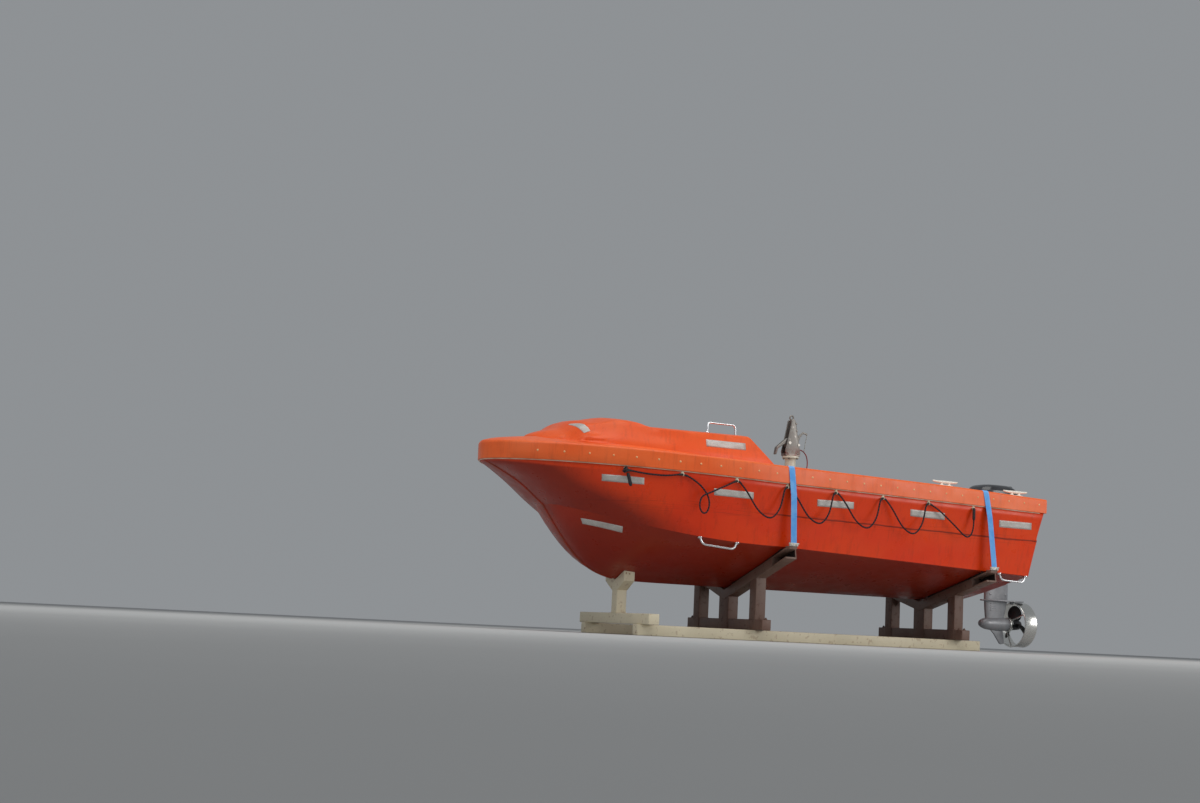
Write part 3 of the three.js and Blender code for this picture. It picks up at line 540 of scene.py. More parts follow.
def mirror_half(piece):
    mirror = piece.modifiers.new("other_side", "MIRROR")
    mirror.use_axis = (False, True, False)
    mirror.use_clip = True
    mirror.merge_threshold = 0.0002
    apply_all(piece)


HULL_SHARES = BOTTOM_SHARES + SIDE_SHARES
hull_skin = placed_grid(
    "hull_skin", TRANSOM_COLUMNS + STRAIGHT_STATIONS + BOW_STATIONS + 1, len(HULL_SHARES), hull_place)
pick(hull_skin, "FACE", lambda c, f: c.y < NOTCH_HALF and c.z > NOTCH_FLOOR and c.x < rake_x(c.z) + 0.01)
bpy.ops.mesh.delete(type="FACE")
pick(hull_skin, "EDGE", transom_corner)
bevel(0.016, 4)
pick(hull_skin, "EDGE", lambda c, e: along_chine(e, 0.0015) and -2.15 < c.x < 1.7)
bevel(0.004, 1)
leave_edit()
mirror_half(hull_skin)
close_and_smooth(hull_skin, 32)
# A crisp chine: both edges of its narrow facet stay sharp under the smoothing.
pick(
    hull_skin, "EDGE",
    lambda c, e: along_chine(e, 0.007) and abs(e.verts[0].co.x - e.verts[1].co.x) > 0.004)
bpy.ops.mesh.mark_sharp()
leave_edit()
give_wall(hull_skin, LAMINATE)


def gelcoat(name, colour, faded, grime, gloss=0.3, shade_and_rub=None):
    """Sprayed-in-mould polyester: sun-faded in broad patches, streaked and rubbed in use. On the
    hull it also paints shade: darker on faces that turn downwards, and a thin shadow line aft.
    """
    finish, tree, shader = new_finish(name, Coat_Weight=0.12, Coat_Roughness=0.18, Specular_IOR_Level=0.3)
    patches = ramp(tree, noise(tree, 1.6, (1, 1, 1.8), detail=6), 0.38, 0.66)
    base = blend(tree, patches, colour, faded)
    streaks = ramp(tree, noise(tree, 5.0, (5, 5, 0.5), detail=5, rough=0.7), 0.52, 0.8, 0, 0.45)
    base = blend(tree, streaks, base, grime)
    specks = ramp(tree, noise(tree, 70, detail=3, rough=0.7), 0.66, 0.74, 0, 0.35)
    base = blend(tree, specks, base, grime)
    if shade_and_rub:
        # Painted shade: faces that turn downwards are blended towards a dark red.
        turned = parted(tree, add_node(tree, "NewGeometry").outputs["Normal"])
        under = ramp(tree, turned["Z"], -0.35, -0.62, 0, 0.75)
        base = blend(tree, under, base, srgb(104, 16, 0))
        # A thin dark line along the topside, aft only, is a painted shadow as of a small step; the streaky
        # smears beside it are rub marks in the same dark.
        at = parted(tree, coordinates(tree))
        slope, level, half = shade_and_rub
        wander = ramp(tree, noise(tree, 2.5, (1, 0, 0), detail=5), 0.0, 1.0, -0.014, 0.014)
        line = maths(tree, "ADD", maths(tree, "MULTIPLY_ADD", at["X"], -slope, at["Z"]), wander)
        away = maths(tree, "ABSOLUTE", maths(tree, "ADD", line, -level))
        step_shadow_line = ramp(tree, away, half * 1.6, half * 0.4, 0, 0.8)
        smear = product(
            tree, ramp(tree, away, 0.06, 0.0, 0, 0.5),
            ramp(tree, noise(tree, 5.0, (0.5, 0.5, 26), detail=6, rough=0.75), 0.52, 0.64))
        aft = ramp(tree, at["X"], 0.5, 0.1)
        dark = srgb(96, 26, 12)
        base = blend(tree, product(tree, aft, step_shadow_line), base, dark)
        base = blend(tree, smear, base, dark)
    feed(tree, shader, base)
    dull = ramp(tree, noise(tree, 9, detail=5), 0.3, 0.7, gloss - 0.06, gloss + 0.16)
    tree.links.new(dull, shader.inputs["Roughness"])
    bump(tree, shader, noise(tree, 24, detail=3), 0.0006)
    return finish


hull_finish = gelcoat(
    "hull_gelcoat", srgb(228, 54, 0), srgb(233, 68, 6), srgb(150, 36, 8), shade_and_rub=(0.017, 0.926, 0.005))
fix(hull_skin, hull_finish, replaced=("hull",))

# Deck and liner: the second moulding, bonded over the hull's flange. It makes the rubbing strake
# round the boat, the side decks, the coaming, the walls of cockpit and locker, and the sole.
STRAKE_PROUD = 0.013
STRAKE_HEIGHT = 0.128
STRAKE_LOSS = SimpleNamespace(start=-1.34, share=0.0176)
STRAKE_EDGE = 0.016
STRAKE_LEAN = 0.002
JOINT_GAP = 0.0004
SOLE_Z = 0.7
COCKPIT = SimpleNamespace(aft=-2.05, fore=0.156, half=0.7, corner=0.09)
LOCKER = {"bow_start": 0.7, "tip": 1.42, "half": 0.6}
NOTCH_WALL_X = -2.125
COAMING_R = 0.024
FOOT_R = 0.03
DECK_AFT_X = -2.258
DECK_LEVEL = (2.0, JOINT[1] + STRAKE_PROUD, JOINT[2], JOINT[3] + STRAKE_PROUD, *JOINT[4:])


def deck_z(x):
    return joint_z(x) + STRAKE_HEIGHT - STRAKE_LOSS.share * max(0.0, STRAKE_LOSS.start - x)


def smooth_step(x, low, high):
    t = min(1.0, max(0.0, (x - low) / (high - low)))
    return t * t * (3 - 2 * t)


def deck_top(x, y):
    """Height of the deck at a place on it, crowned over the bow."""
    beam = max(level_at(DECK_LEVEL, x)[0], 1e-4)
    crown = 0.075 * smooth_step(x, 0.3, 1.6) * min(1.0, beam / 0.5)
    share = min(1.0, abs(y) / beam)
    steps = ((0.0, 1.0), (0.4, 0.85), (0.72, 0.45), (1.0, 0.0))
    for (s0, c0), (s1, c1) in zip(steps, steps[1:]):
        if share <= s1:
            return deck_z(x) + crown * mix(c0, c1, (share - s0) / (s1 - s0))
    return deck_z(x)


BOW_ROUND = 2.4


def superellipse(angle, bow_start, tip, half):
    """(x, y) at an angle round the locker's or the cuddy's blunt bow end."""
    x = mix(bow_start, tip, math.sin(angle) ** (2 / BOW_ROUND))
    return x, half * max(0.0, math.cos(angle)) ** (2 / BOW_ROUND)


def deck_columns():
    """Matched points (outer edge, inner edge) round the port side, from the stern to the stem."""
    columns = []
    corner_y = level_at(DECK_LEVEL, DECK_AFT_X)[0]
    for i in range(8):
        y = NOTCH_HALF * i / 7
        columns.append(((rake_x(NOTCH_FLOOR) - 0.006, y), (NOTCH_WALL_X, y), NOTCH_FLOOR))
    inner_corner = COCKPIT.half - COCKPIT.corner
    for i in range(12):
        t = i / 11
        columns.append((
            (DECK_AFT_X, mix(NOTCH_HALF, corner_y, t)), (COCKPIT.aft, mix(NOTCH_HALF, inner_corner, t)),
            None))
    for i in range(1, 9):
        t = i / 8
        x_in = COCKPIT.aft + COCKPIT.corner * t
        x_out = mix(DECK_AFT_X, x_in, t**1.5)
        columns.append((
            (x_out, level_at(DECK_LEVEL, x_out)[0]), (x_in, inner_corner + COCKPIT.corner * t), None))
    aft_x = COCKPIT.aft + COCKPIT.corner
    for i in range(1, 31):
        x = mix(aft_x, COCKPIT.fore, i / 30)
        columns.append(((x, level_at(DECK_LEVEL, x)[0]), (x, COCKPIT.half), None))
    for i in range(13):
        x = mix(COCKPIT.fore + 0.001, LOCKER["bow_start"], i / 12)
        columns.append(((x, level_at(DECK_LEVEL, x)[0]), (x, LOCKER["half"]), None))
    for i in range(1, 49):
        a = math.pi / 2 * i / 48
        u = math.sin(a) ** (2 / PLAN_POWER)
        x = mix(LOCKER["bow_start"], DECK_LEVEL[3], u)
        columns.append(((x, level_at(DECK_LEVEL, x)[0]), superellipse(a, **LOCKER), None))
    return columns


DECK_COLUMNS = deck_columns()
DECK_STEPS = 14


def deck_profile(column):
    """One column of the moulding, from under the strake over the deck and down to the sole."""
    (ox, oy), (ix, iy), fixed = DECK_COLUMNS[column]
    outer, inner = Vector((ox, oy, 0)), Vector((ix, iy, 0))
    width = (inner - outer).length
    inward = (inner - outer).normalized()
    low = joint_z(ox) + JOINT_GAP if fixed is None else fixed - 0.06
    top = lambda d: deck_top(*(outer + inward * d).xy) if fixed is None else fixed
    r = STRAKE_EDGE
    lean = STRAKE_LEAN if fixed is None else 0.0
    at = lambda d, z: outer + inward * d + Vector((0, 0, z))
    ring = [
        at(STRAKE_PROUD + 0.01, low + 0.01), at(STRAKE_PROUD - 0.001, low), at(0.003, low),
        at(0, low + 0.003), at(-lean / 2, mix(low, top(0) - r, 0.5))]
    for k in range(6):
        a = math.pi / 2 * k / 5
        d = r * (1 - math.cos(a)) - lean
        ring.append(at(d, top(max(d, 0)) - r + r * math.sin(a)))
    for k in range(1, DECK_STEPS):
        d = mix(r, width - COAMING_R, k / DECK_STEPS)
        ring.append(at(d, top(d)))
    for k in range(6):
        a = math.pi / 2 * k / 5
        d = width - COAMING_R + COAMING_R * math.sin(a)
        ring.append(at(d, top(d) - COAMING_R * (1 - math.cos(a))))
    rim = ring[-1].z
    ring.append(inner + Vector((0, 0, mix(SOLE_Z, rim, 0.5))))
    for k in range(5):
        a = math.pi / 2 * k / 4
        d = width + FOOT_R * (1 - math.cos(a))
        ring.append(at(d, SOLE_Z + FOOT_R * (1 - math.sin(a))))
    return ring


DECK_RINGS = [deck_profile(i) for i in range(len(DECK_COLUMNS))]
deck_liner = placed_grid(
    "deck_and_liner", len(DECK_RINGS), len(DECK_RINGS[0]), lambda c, r: DECK_RINGS[c][r])
for vertex in deck_liner.data.vertices:
    vertex.co.y = max(0.0, vertex.co.y)
mirror_half(deck_liner)
pick(deck_liner, "EDGE", lambda c, e: e.is_boundary and abs(c.z - SOLE_Z) < 0.002)
bpy.ops.mesh.edge_face_add()
leave_edit()
close_and_smooth(deck_liner, 38)
give_wall(deck_liner, 0.005)


def deck_gelcoat(name):
    """Orange over the decks and strake, pale grit-rolled non-slip low down in the cockpit."""
    # The orange is lighter and yellower than the hull's: painted light on the same gelcoat.
    finish = gelcoat(name, srgb(238, 96, 36), srgb(242, 112, 54), srgb(170, 66, 32), gloss=0.36)
    tree = finish.node_tree
    shader = tree.nodes["Principled BSDF"]
    old = shader.inputs["Base Color"].links[0].from_socket
    at = parted(tree, coordinates(tree))
    inside = ramp(tree, at["Z"], 1.16, 1.155)
    inside = product(tree, inside, ramp(tree, maths(tree, "ABSOLUTE", at["Y"]), 0.735, 0.72))
    inside = product(tree, inside, ramp(tree, at["X"], -2.19, -2.17))
    grit = noise(tree, 420, detail=2, rough=0.8)
    pale = blend(tree, ramp(tree, grit, 0.4, 0.7), srgb(196, 193, 184), srgb(168, 166, 160))
    feed(tree, shader, blend(tree, inside, old, pale))
    return finish


deck_finish = deck_gelcoat("deck_gelcoat")
fix(deck_liner, deck_finish, replaced=("deck_moulding",))

# Cuddy: a low shelter over the bow locker, moulded in orange gelcoat and bonded to the deck with
# a swept foot. Its roof has a low hump near the bow, its nose slopes gently down to the foredeck,
# and its aft end slopes.
CUDDY_HALF = 0.69
CUDDY_AFT_X = 0.1
CUDDY_BOW_X = 0.65
CUDDY_TIP_X = 1.95
CUDDY_CROWN = 0.046
CUDDY_FOOT_R = 0.034
CUDDY_BOTTOM_Z = 1.1
# Columns: x, height of the shoulder, how far the side leans in up to the shoulder.
CUDDY_ROWS = (
    (0.1, 1.518, 0.042), (0.42, 1.516, 0.042), (0.9, 1.512, 0.042), (1.15, 1.512, 0.046),
    (1.22, 1.522, 0.05), (1.29, 1.543, 0.056), (1.37, 1.552, 0.062), (1.43, 1.552, 0.07),
    (1.49, 1.54, 0.082), (1.56, 1.524, 0.098), (1.62, 1.518, 0.112), (1.665, 1.502, 0.124),
    (1.705, 1.474, 0.13), (1.74, 1.448, 0.13), (1.8, 1.434, 0.124), (1.86, 1.416, 0.112),
    (1.91, 1.396, 0.096), (1.93, 1.386, 0.084), (1.95, 1.372, 0.07))
# Side view of the sloping aft end, from the roof down to the deck.
CUDDY_END = ((0.498, 1.568), (0.438, 1.545), (0.384, 1.508), (0.153, 1.292), (0.153, 1.15))
CUDDY_RING = 40


def eased_rows(rows, x):
    """Values of the rows at x, eased through their points without overshoot."""
    if x <= rows[0][0]:
        return rows[0][1:]
    for i, (a, b) in enumerate(zip(rows, rows[1:])):
        if x <= b[0]:
            t = (x - a[0]) / (b[0] - a[0])
            out = []
            for k in range(1, len(a)):
                slope = (b[k] - a[k]) / (b[0] - a[0])
                before = rows[i - 1] if i else None
                after = rows[i + 2] if i + 2 < len(rows) else None
                s0 = (a[k] - before[k]) / (a[0] - before[0]) if before else slope
                s1 = (after[k] - b[k]) / (after[0] - b[0]) if after else slope
                m0 = 0 if s0 * slope <= 0 else 2 * s0 * slope / (s0 + slope)
                m1 = 0 if s1 * slope <= 0 else 2 * s1 * slope / (s1 + slope)
                span = b[0] - a[0]
                out.append(
                    a[k] * (1 + 2 * t) * (1 - t) ** 2 + b[k] * t * t * (3 - 2 * t)
                    + span * (m0 * t * (1 - t) ** 2 - m1 * t * t * (1 - t)))
            return out
    return rows[-1][1:]


def evenly(points, count):
    """The line through the points, smoothed and cut into count points at even distances."""
    fine = smooth_line(points, 0.006)
    lengths = [0.0]
    for a, b in zip(fine, fine[1:]):
        lengths.append(lengths[-1] + (b - a).length)
    out, at = [], 0
    for k in range(count):
        want = lengths[-1] * k / (count - 1)
        while at + 2 < len(fine) and lengths[at + 1] < want:
            at += 1
        span = max(lengths[at + 1] - lengths[at], 1e-9)
        out.append(fine[at].lerp(fine[at + 1], min(1.0, max(0.0, (want - lengths[at]) / span))))
    return out


def cuddy_ring(x, foot, out):
    """One rib of the cuddy's port half, from its foot on the deck up to the centre of the roof."""
    z, lean = eased_rows(CUDDY_ROWS, x)
    k = min(1.0, foot / 0.26)
    shoulder = max(0.3 * foot, foot - lean * k)
    deck = deck_top(x, foot) + 0.0005
    r = CUDDY_FOOT_R * k
    tall = max(0.01, z - 0.07 - deck)
    r = min(r, tall * 0.6)
    swept = ((-0.03, 1), (0, 1), (0.12 * r, 0.45), (0.45 * r, 0.1), (1.3 * r, 0))
    side = (
        (mix(foot, shoulder, 0.55), z - 0.07), (mix(foot, shoulder, 0.85), z - 0.024),
        (shoulder - 0.026 * k, z))
    roof = ((0.5 * shoulder, z + 0.78 * CUDDY_CROWN * k), (0, z + CUDDY_CROWN * k))
    ring = [Vector((x, foot, deck + up)) + out * share * r for up, share in swept]
    return ring + [Vector((x, y, height)) for y, height in side + roof]


CUDDY_RIBS = []
for i in range(25):
    CUDDY_RIBS.append((mix(CUDDY_AFT_X, CUDDY_BOW_X, i / 25), CUDDY_HALF, Vector((0, 1, 0))))
for i in range(61):
    a = math.pi / 2 * i / 60
    x, foot = superellipse(a, CUDDY_BOW_X, CUDDY_TIP_X, CUDDY_HALF)
    near = (min(a + 0.01, math.pi / 2), max(a - 0.01, 0))
    (x1, y1), (x0, y0) = (superellipse(b, CUDDY_BOW_X, CUDDY_TIP_X, CUDDY_HALF) for b in near)
    along = Vector((x1 - x0, y1 - y0, 0)).normalized()
    out = Vector((-along.y, along.x, 0))
    CUDDY_RIBS.append((x, foot, {0: Vector((0, 1, 0)), 60: Vector((1, 0, 0))}.get(i, out)))
CUDDY_SKINS = []
for x, foot, out in CUDDY_RIBS:
    rib = evenly(cuddy_ring(x, foot, out), CUDDY_RING)
    for point in rib:
        point.y = max(0.0, point.y)
    low = rib[0]
    CUDDY_SKINS.append([Vector((low.x, 0, CUDDY_BOTTOM_Z)), Vector((low.x, low.y, CUDDY_BOTTOM_Z)), *rib])
cuddy_skin = placed_grid("cuddy_skin", len(CUDDY_SKINS), CUDDY_RING + 2, lambda c, r: CUDDY_SKINS[c][r])
mirror_half(cuddy_skin)
close_and_smooth(cuddy_skin, 35, 0.0002)
for (x0, z0), (x1, z1) in zip(CUDDY_END[::-1], CUDDY_END[::-1][1:]):
    pick(cuddy_skin, "FACE", lambda c, f: True)
    bpy.ops.mesh.bisect(
        plane_co=(x0, 0, z0), plane_no=(-(z1 - z0), 0, x1 - x0), use_fill=True, clear_outer=True)
AFT_EDGE_R = 0.026


def aft_edge(c, edge):
    """Whether an edge runs round the cuddy's sloping end, but not along its foot."""
    placed = c.z > 1.2 and c.x < 0.56 and not (c.x > 0.17 and c.z < 1.3)
    return placed and len(edge.link_faces) == 2 and edge.calc_face_angle(0) > math.radians(17)


pick(cuddy_skin, "EDGE", aft_edge)
bevel(AFT_EDGE_R, 5)
pick(cuddy_skin, "FACE", lambda c, f: c.z < CUDDY_BOTTOM_Z + 0.001)
bpy.ops.mesh.delete(type="FACE")
leave_edit()
close_and_smooth(cuddy_skin, 30, 0.0003)
give_wall(cuddy_skin, 0.008)

# The hatchway in the slope, cut with rounded corners.
SLOPE = math.atan2(0.216, 0.231)
SLOPE_TOP = Vector((0.376, 0, 1.503))
HATCH = SimpleNamespace(length=0.236, half=0.3, thick=0.022, rim=0.038)
DOWN_SLOPE = Vector((-math.cos(SLOPE), 0, -math.sin(SLOPE)))
OFF_SLOPE = Vector((-math.sin(SLOPE), 0, math.cos(SLOPE)))


def on_slope(along, across, out):
    return SLOPE_TOP + DOWN_SLOPE * along + Vector((0, across, 0)) + OFF_SLOPE * out


def slab_on_slope(name, along0, along1, half, out0, out1, corner, edge, segments=5):
    """A block lying on the slope with rounded corners in its plane and softened edges."""
    slab = started(name, bpy.ops.mesh.primitive_cube_add, size=1)
    for vertex in slab.data.vertices:
        vertex.co = on_slope(
            mix(along0, along1, vertex.co.x + 0.5), 2 * half * vertex.co.y,
            mix(out0, out1, vertex.co.z + 0.5))
    if corner:
        pick(
            slab, "EDGE",
            lambda c, e: abs((e.verts[0].co - e.verts[1].co).normalized().dot(OFF_SLOPE)) > 0.99)
        bevel(corner, segments + 2)
    if edge:
        pick(slab, "EDGE", lambda c, e: e.calc_face_angle(0) > math.radians(60))
        bevel(edge, segments)
    if bpy.context.mode != "OBJECT":
        leave_edit()
    return slab


def carve(piece, tool):
    """Cuts the tool's form out of the piece and deletes the tool."""
    cut = piece.modifiers.new("cut", "BOOLEAN")
    cut.operation = "DIFFERENCE"
    cut.solver = "EXACT"
    cut.object = tool
    apply_all(piece)
    bpy.data.objects.remove(tool)


carve(
    cuddy_skin,
    slab_on_slope(
        "hatchway", HATCH.rim, HATCH.length - HATCH.rim, HATCH.half - HATCH.rim, -0.06, 0.05, 0.03, 0))
close_and_smooth(cuddy_skin, 30)
# The cuddy's orange is lighter and yellower than the hull's: painted light on the same gelcoat.
cuddy_finish = gelcoat(
    "cuddy_gelcoat", srgb(236, 88, 26), srgb(240, 104, 42), srgb(168, 66, 34), gloss=0.38)
fix(cuddy_skin, cuddy_finish, replaced=("cuddy_shell",))

# Topside fittings: a sealant bead along the joint, a stem band, pale bolt heads through the
# strake, and strips of silver retro-reflective tape stuck round the hull and the cuddy.
def mirrored_copy(piece, name):
    """The same piece on the other side, with its own mesh."""
    copy = piece.copy()
    copy.data = piece.data.copy()
    copy.name = name
    bpy.context.scene.collection.objects.link(copy)
    for vertex in copy.data.vertices:
        vertex.co.y = -vertex.co.y
    copy.data.flip_normals()
    return copy


def both_sides(piece, stem, finish, replaced=None):
    """Names a port piece, copies it to starboard, and fixes both; replaced is the CAD's stem."""
    piece.name = stem + "_port"
    for made, side in ((piece, "port"), (mirrored_copy(piece, stem + "_starboard"), "starboard")):
        fix(made, finish, replaced=((replaced + "_" + side,) if replaced else ()))


def joined(pieces, name):
    bpy.ops.object.select_all(action="DESELECT")
    for piece in pieces:
        piece.select_set(True)
    bpy.context.view_layer.objects.active = pieces[0]
    if len(pieces) > 1:
        bpy.ops.object.join()
    pieces[0].name = name
    return pieces[0]


def build(parts, name, angle, finish, body="boat_and_cradle", replaced=()):
    """Joins the parts into one finished piece and fixes it to its body."""
    return fix(close_and_smooth(joined(parts, name), angle, 1e-6), finish, body, replaced)


def on_hull(piece, x, z, stand=0.0):
    """The place and outward direction of a piece's port skin beside (x, z)."""
    hit, place, normal, _ = piece.ray_cast(Vector((x, 2.0, z)), Vector((0, -1, 0)))
    if not hit:
        place, normal = Vector((x, hull_side(x, z), z)), Vector((0, 1, 0))
    return place + normal * stand, normal


BEAD_R = 0.0048
bead_line = []
for i in range(100):
    station = (STRAIGHT_STATIONS + BOW_STATIONS) * (0.008 + 0.992 * i / 99)
    lower, upper = math.floor(station), math.ceil(station)
    at = hull_point(2.0, lower).lerp(hull_point(2.0, upper), station - lower)
    bead_line.append(at + Vector((0, 0.0015, -0.002)))
bead = tube("joint_bead", smooth_line(bead_line, 0.03), BEAD_R, 8)
bead_finish = mottled(
    "sealant_bead", (9,), (0.35, 0.65), ((232, 208, 186), (196, 156, 128)), Roughness=0.55)
both_sides(bead, "joint_bead", bead_finish)


def capped(piece, merge=0.00005):
    """Merges a rolled grid into a tube and fills its two ends."""
    select_only(piece)
    bpy.ops.object.mode_set(mode="EDIT")
    bpy.ops.mesh.select_all(action="SELECT")
    bpy.ops.mesh.remove_doubles(threshold=merge)
    bpy.ops.mesh.dissolve_degenerate(threshold=merge)
    bpy.ops.mesh.select_all(action="DESELECT")
    bpy.ops.mesh.select_non_manifold()
    bpy.ops.mesh.edge_face_add()
    bpy.ops.mesh.select_all(action="SELECT")
    bpy.ops.mesh.normals_make_consistent(inside=False)
    leave_edit()
    return piece


STEM_BAND = SimpleNamespace(half=0.013, proud=0.006, top=2.0, foot=0.06)
band_points = []
for i in range(40):
    share = mix(STEM_BAND.top, STEM_BAND.foot, i / 39)
    band_points.append(hull_point(share, STRAIGHT_STATIONS + BOW_STATIONS))
band_frames = []
for i, point in enumerate(band_points):
    along = (band_points[min(i + 1, 39)] - band_points[max(i - 1, 0)]).normalized()
    out = Vector((-along.z, 0, along.x))
    band_frames.append((point, out if out.x > 0 else -out))
BAND_SECTION = (
    (-1, -0.8), (-1, 0.45), (-0.8, 0.85), (-0.4, 1), (0.4, 1), (0.8, 0.85), (1, 0.45), (1, -0.8),
    (-1, -0.8))
stem_band = placed_grid(
    "stem_band", len(BAND_SECTION), len(band_frames),
    lambda c, r: band_frames[r][0] + Vector((0, BAND_SECTION[c][0] * STEM_BAND.half, 0)) + band_frames[
        r][1] * BAND_SECTION[c][1] * STEM_BAND.proud)
close_and_smooth(capped(stem_band), 50)
rubber_tan = mottled(
    "stem_rubber", (14, 6), (0.4, 0.65), ((168, 46, 16), (140, 62, 36)), relief=(120, 4, 0.0006),
    Roughness=0.6)
fix(stem_band, rubber_tan)

BOLT = SimpleNamespace(r=0.0075, proud=0.0035, spacing=0.158, fore=2.02, aft=-2.18, up=0.064)
bolts = []
count = round((BOLT.fore - BOLT.aft) / BOLT.spacing)
for i in range(count + 1):
    x = mix(BOLT.aft, BOLT.fore, i / count)
    place, normal = on_hull(deck_liner, x, joint_z(x) + BOLT.up)
    bolt = started("bolt", bpy.ops.mesh.primitive_uv_sphere_add, segments=12, ring_count=8, radius=BOLT.r)
    bolt.data.transform(
        Matrix.Translation(place) @ normal.to_track_quat("Z", "Y").to_matrix().to_4x4()
        @ Matrix.Diagonal((1, 1, BOLT.proud / BOLT.r, 1)))
    bolts.append(bolt)
strake_bolts = close_and_smooth(joined(bolts, "strake_bolts"), 60, 1e-6)
bolt_finish = mottled(
    "pale_bolt_caps", (30,), (0.4, 0.6), ((240, 196, 140), (226, 160, 104)), Roughness=0.4)
both_sides(strake_bolts, "strake_bolts", bolt_finish)

# Corners of each strip, (x, z): top fore, top aft, foot aft, foot fore.
TOPSIDE_TAPES = (
    ((1.606, 1.134), (1.322, 1.124), (1.314, 1.075), (1.596, 1.086)),
    ((0.8, 1.083), (0.478, 1.077), (0.47, 1.027), (0.792, 1.034)),
    ((-0.079, 1.067), (-0.407, 1.071), (-0.416, 1.019), (-0.088, 1.017)),
    ((-0.936, 1.056), (-1.266, 1.05), (-1.276, 0.997), (-0.946, 1.004)),
    ((-1.808, 1.033), (-2.136, 1.033), (-2.146, 0.979), (-1.818, 0.979)))
TAPE_STAND = 0.0009


def stuck_tape(name, carrier, corners, columns=13, rows=5):
    """A strip of tape that follows the carrier's skin between four (x, z) corners."""
    def place(column, row):
        s, t = column / (columns - 1), row / (rows - 1)
        x = mix(mix(corners[3][0], corners[2][0], s), mix(corners[0][0], corners[1][0], s), t)
        z = mix(mix(corners[3][1], corners[2][1], s), mix(corners[0][1], corners[1][1], s), t)
        return on_hull(carrier, x, z, TAPE_STAND)[0]
    tape = close_and_smooth(placed_grid(name, columns, rows, place), 60)
    if tape.data.polygons[0].normal.y < 0:
        tape.data.flip_normals()
    give_wall(tape, 0.0008)
    return tape


def reflective(name):
    """Retro-reflective tape: sealed silver cells in a fine lattice, dulled by dirt."""
    finish, tree, shader = new_finish(name, Metallic=0.25, Specular_IOR_Level=0.6)
    cells = add_node(
        tree, "TexVoronoi", {"Vector": coordinates(tree), "Scale": 260.0},
        feature="DISTANCE_TO_EDGE").outputs["Distance"]
    lattice = ramp(tree, cells, 0.02, 0.1)
    silver = blend(tree, lattice, srgb(228, 226, 222), srgb(196, 192, 186))
    dirt = ramp(tree, noise(tree, 7, (1, 1, 2), detail=7, rough=0.7), 0.42, 0.75, 0, 0.55)
    feed(tree, shader, blend(tree, dirt, silver, srgb(150, 128, 114)), ramp(tree, dirt, 0, 0.5, 0.32, 0.6))
    bump(tree, shader, lattice, 0.0003)
    return finish


tape_finish = reflective("silver_tape")
for i, corners in enumerate(TOPSIDE_TAPES):
    both_sides(stuck_tape("tape", hull_skin, corners), f"topside_tape_{i + 1}", tape_finish)
BOW_TAPE = ((1.593, 0.83), (1.35, 0.779), (1.333, 0.735), (1.569, 0.79))
both_sides(stuck_tape("tape", hull_skin, BOW_TAPE, 25, 7), "bow_tape", tape_finish)
cuddy_tape = stuck_tape(
    "tape", cuddy_skin, ((0.765, 1.458), (0.425, 1.458), (0.425, 1.405), (0.765, 1.405)))
both_sides(cuddy_tape, "cuddy_tape", tape_finish)
# On the cuddy's nose the strip was cut narrow at one end and turned down over the corner.
# Columns: y, z and half width of its middle line; it lies where a line aft from there meets it.
NOSE_TAPE = (
    (0.225, 1.517, 0.003), (0.28, 1.514, 0.009), (0.335, 1.507, 0.013), (0.382, 1.493, 0.017),
    (0.415, 1.472, 0.018), (0.44, 1.448, 0.015))


def nose_place(column, row):
    """Along the strip's middle, then across it by its half width there."""
    along = column / 24 * (len(NOSE_TAPE) - 1)
    i = min(int(along), len(NOSE_TAPE) - 2)
    y, z, half = (mix(a, b, along - i) for a, b in zip(NOSE_TAPE[i], NOSE_TAPE[i + 1]))
    across = (row / 6 * 2 - 1) * half
    turn = math.radians(50) * (column / 24) ** 1.5
    ahead_of = Vector((3.0, y + across * math.sin(turn), z + across * math.cos(turn)))
    _, place, normal, _ = cuddy_skin.ray_cast(ahead_of, Vector((-1, 0, 0)))
    return place + normal * TAPE_STAND


nose_tape = close_and_smooth(placed_grid("tape", 25, 7, nose_place), 60)
if sum(face.normal.z for face in nose_tape.data.polygons) < 0:
    nose_tape.data.flip_normals()
give_wall(nose_tape, 0.0008)
both_sides(nose_tape, "nose_tape", tape_finish)

# Rope fittings: nylon eye plates fixed to the topside, with the grab line rove through them.
# A whipping holds the rope on each side, and toggles hang from its ends for the hand.
def lathe(name, profile, place, axis, sides=28):
    """A turned piece: (radius, height) points spun about the axis through a place."""
    turn = Vector(axis).normalized().to_track_quat("Z", "Y").to_matrix()

    def at(column, row):
        r, h = profile[row]
        a = 2 * math.pi * column / sides
        return Vector(place) + turn @ Vector((r * math.cos(a), r * math.sin(a), h))

    return close_and_smooth(placed_grid(name, sides + 1, len(profile), at), 40)


def facing(place, axis):
    """The matrix that stands a piece, modelled upright at the origin, on a place along an axis."""
    turn = Vector(axis).normalized().to_track_quat("Z", "Y").to_matrix().to_4x4()
    return Matrix.Translation(place) @ turn


def ring_piece(name, place, axis, major, minor, sides=28, around=12):
    ring = started(
        name, bpy.ops.mesh.primitive_torus_add, major_radius=major, minor_radius=minor,
        major_segments=sides, minor_segments=around)
    ring.data.transform(facing(place, axis))
    return ring


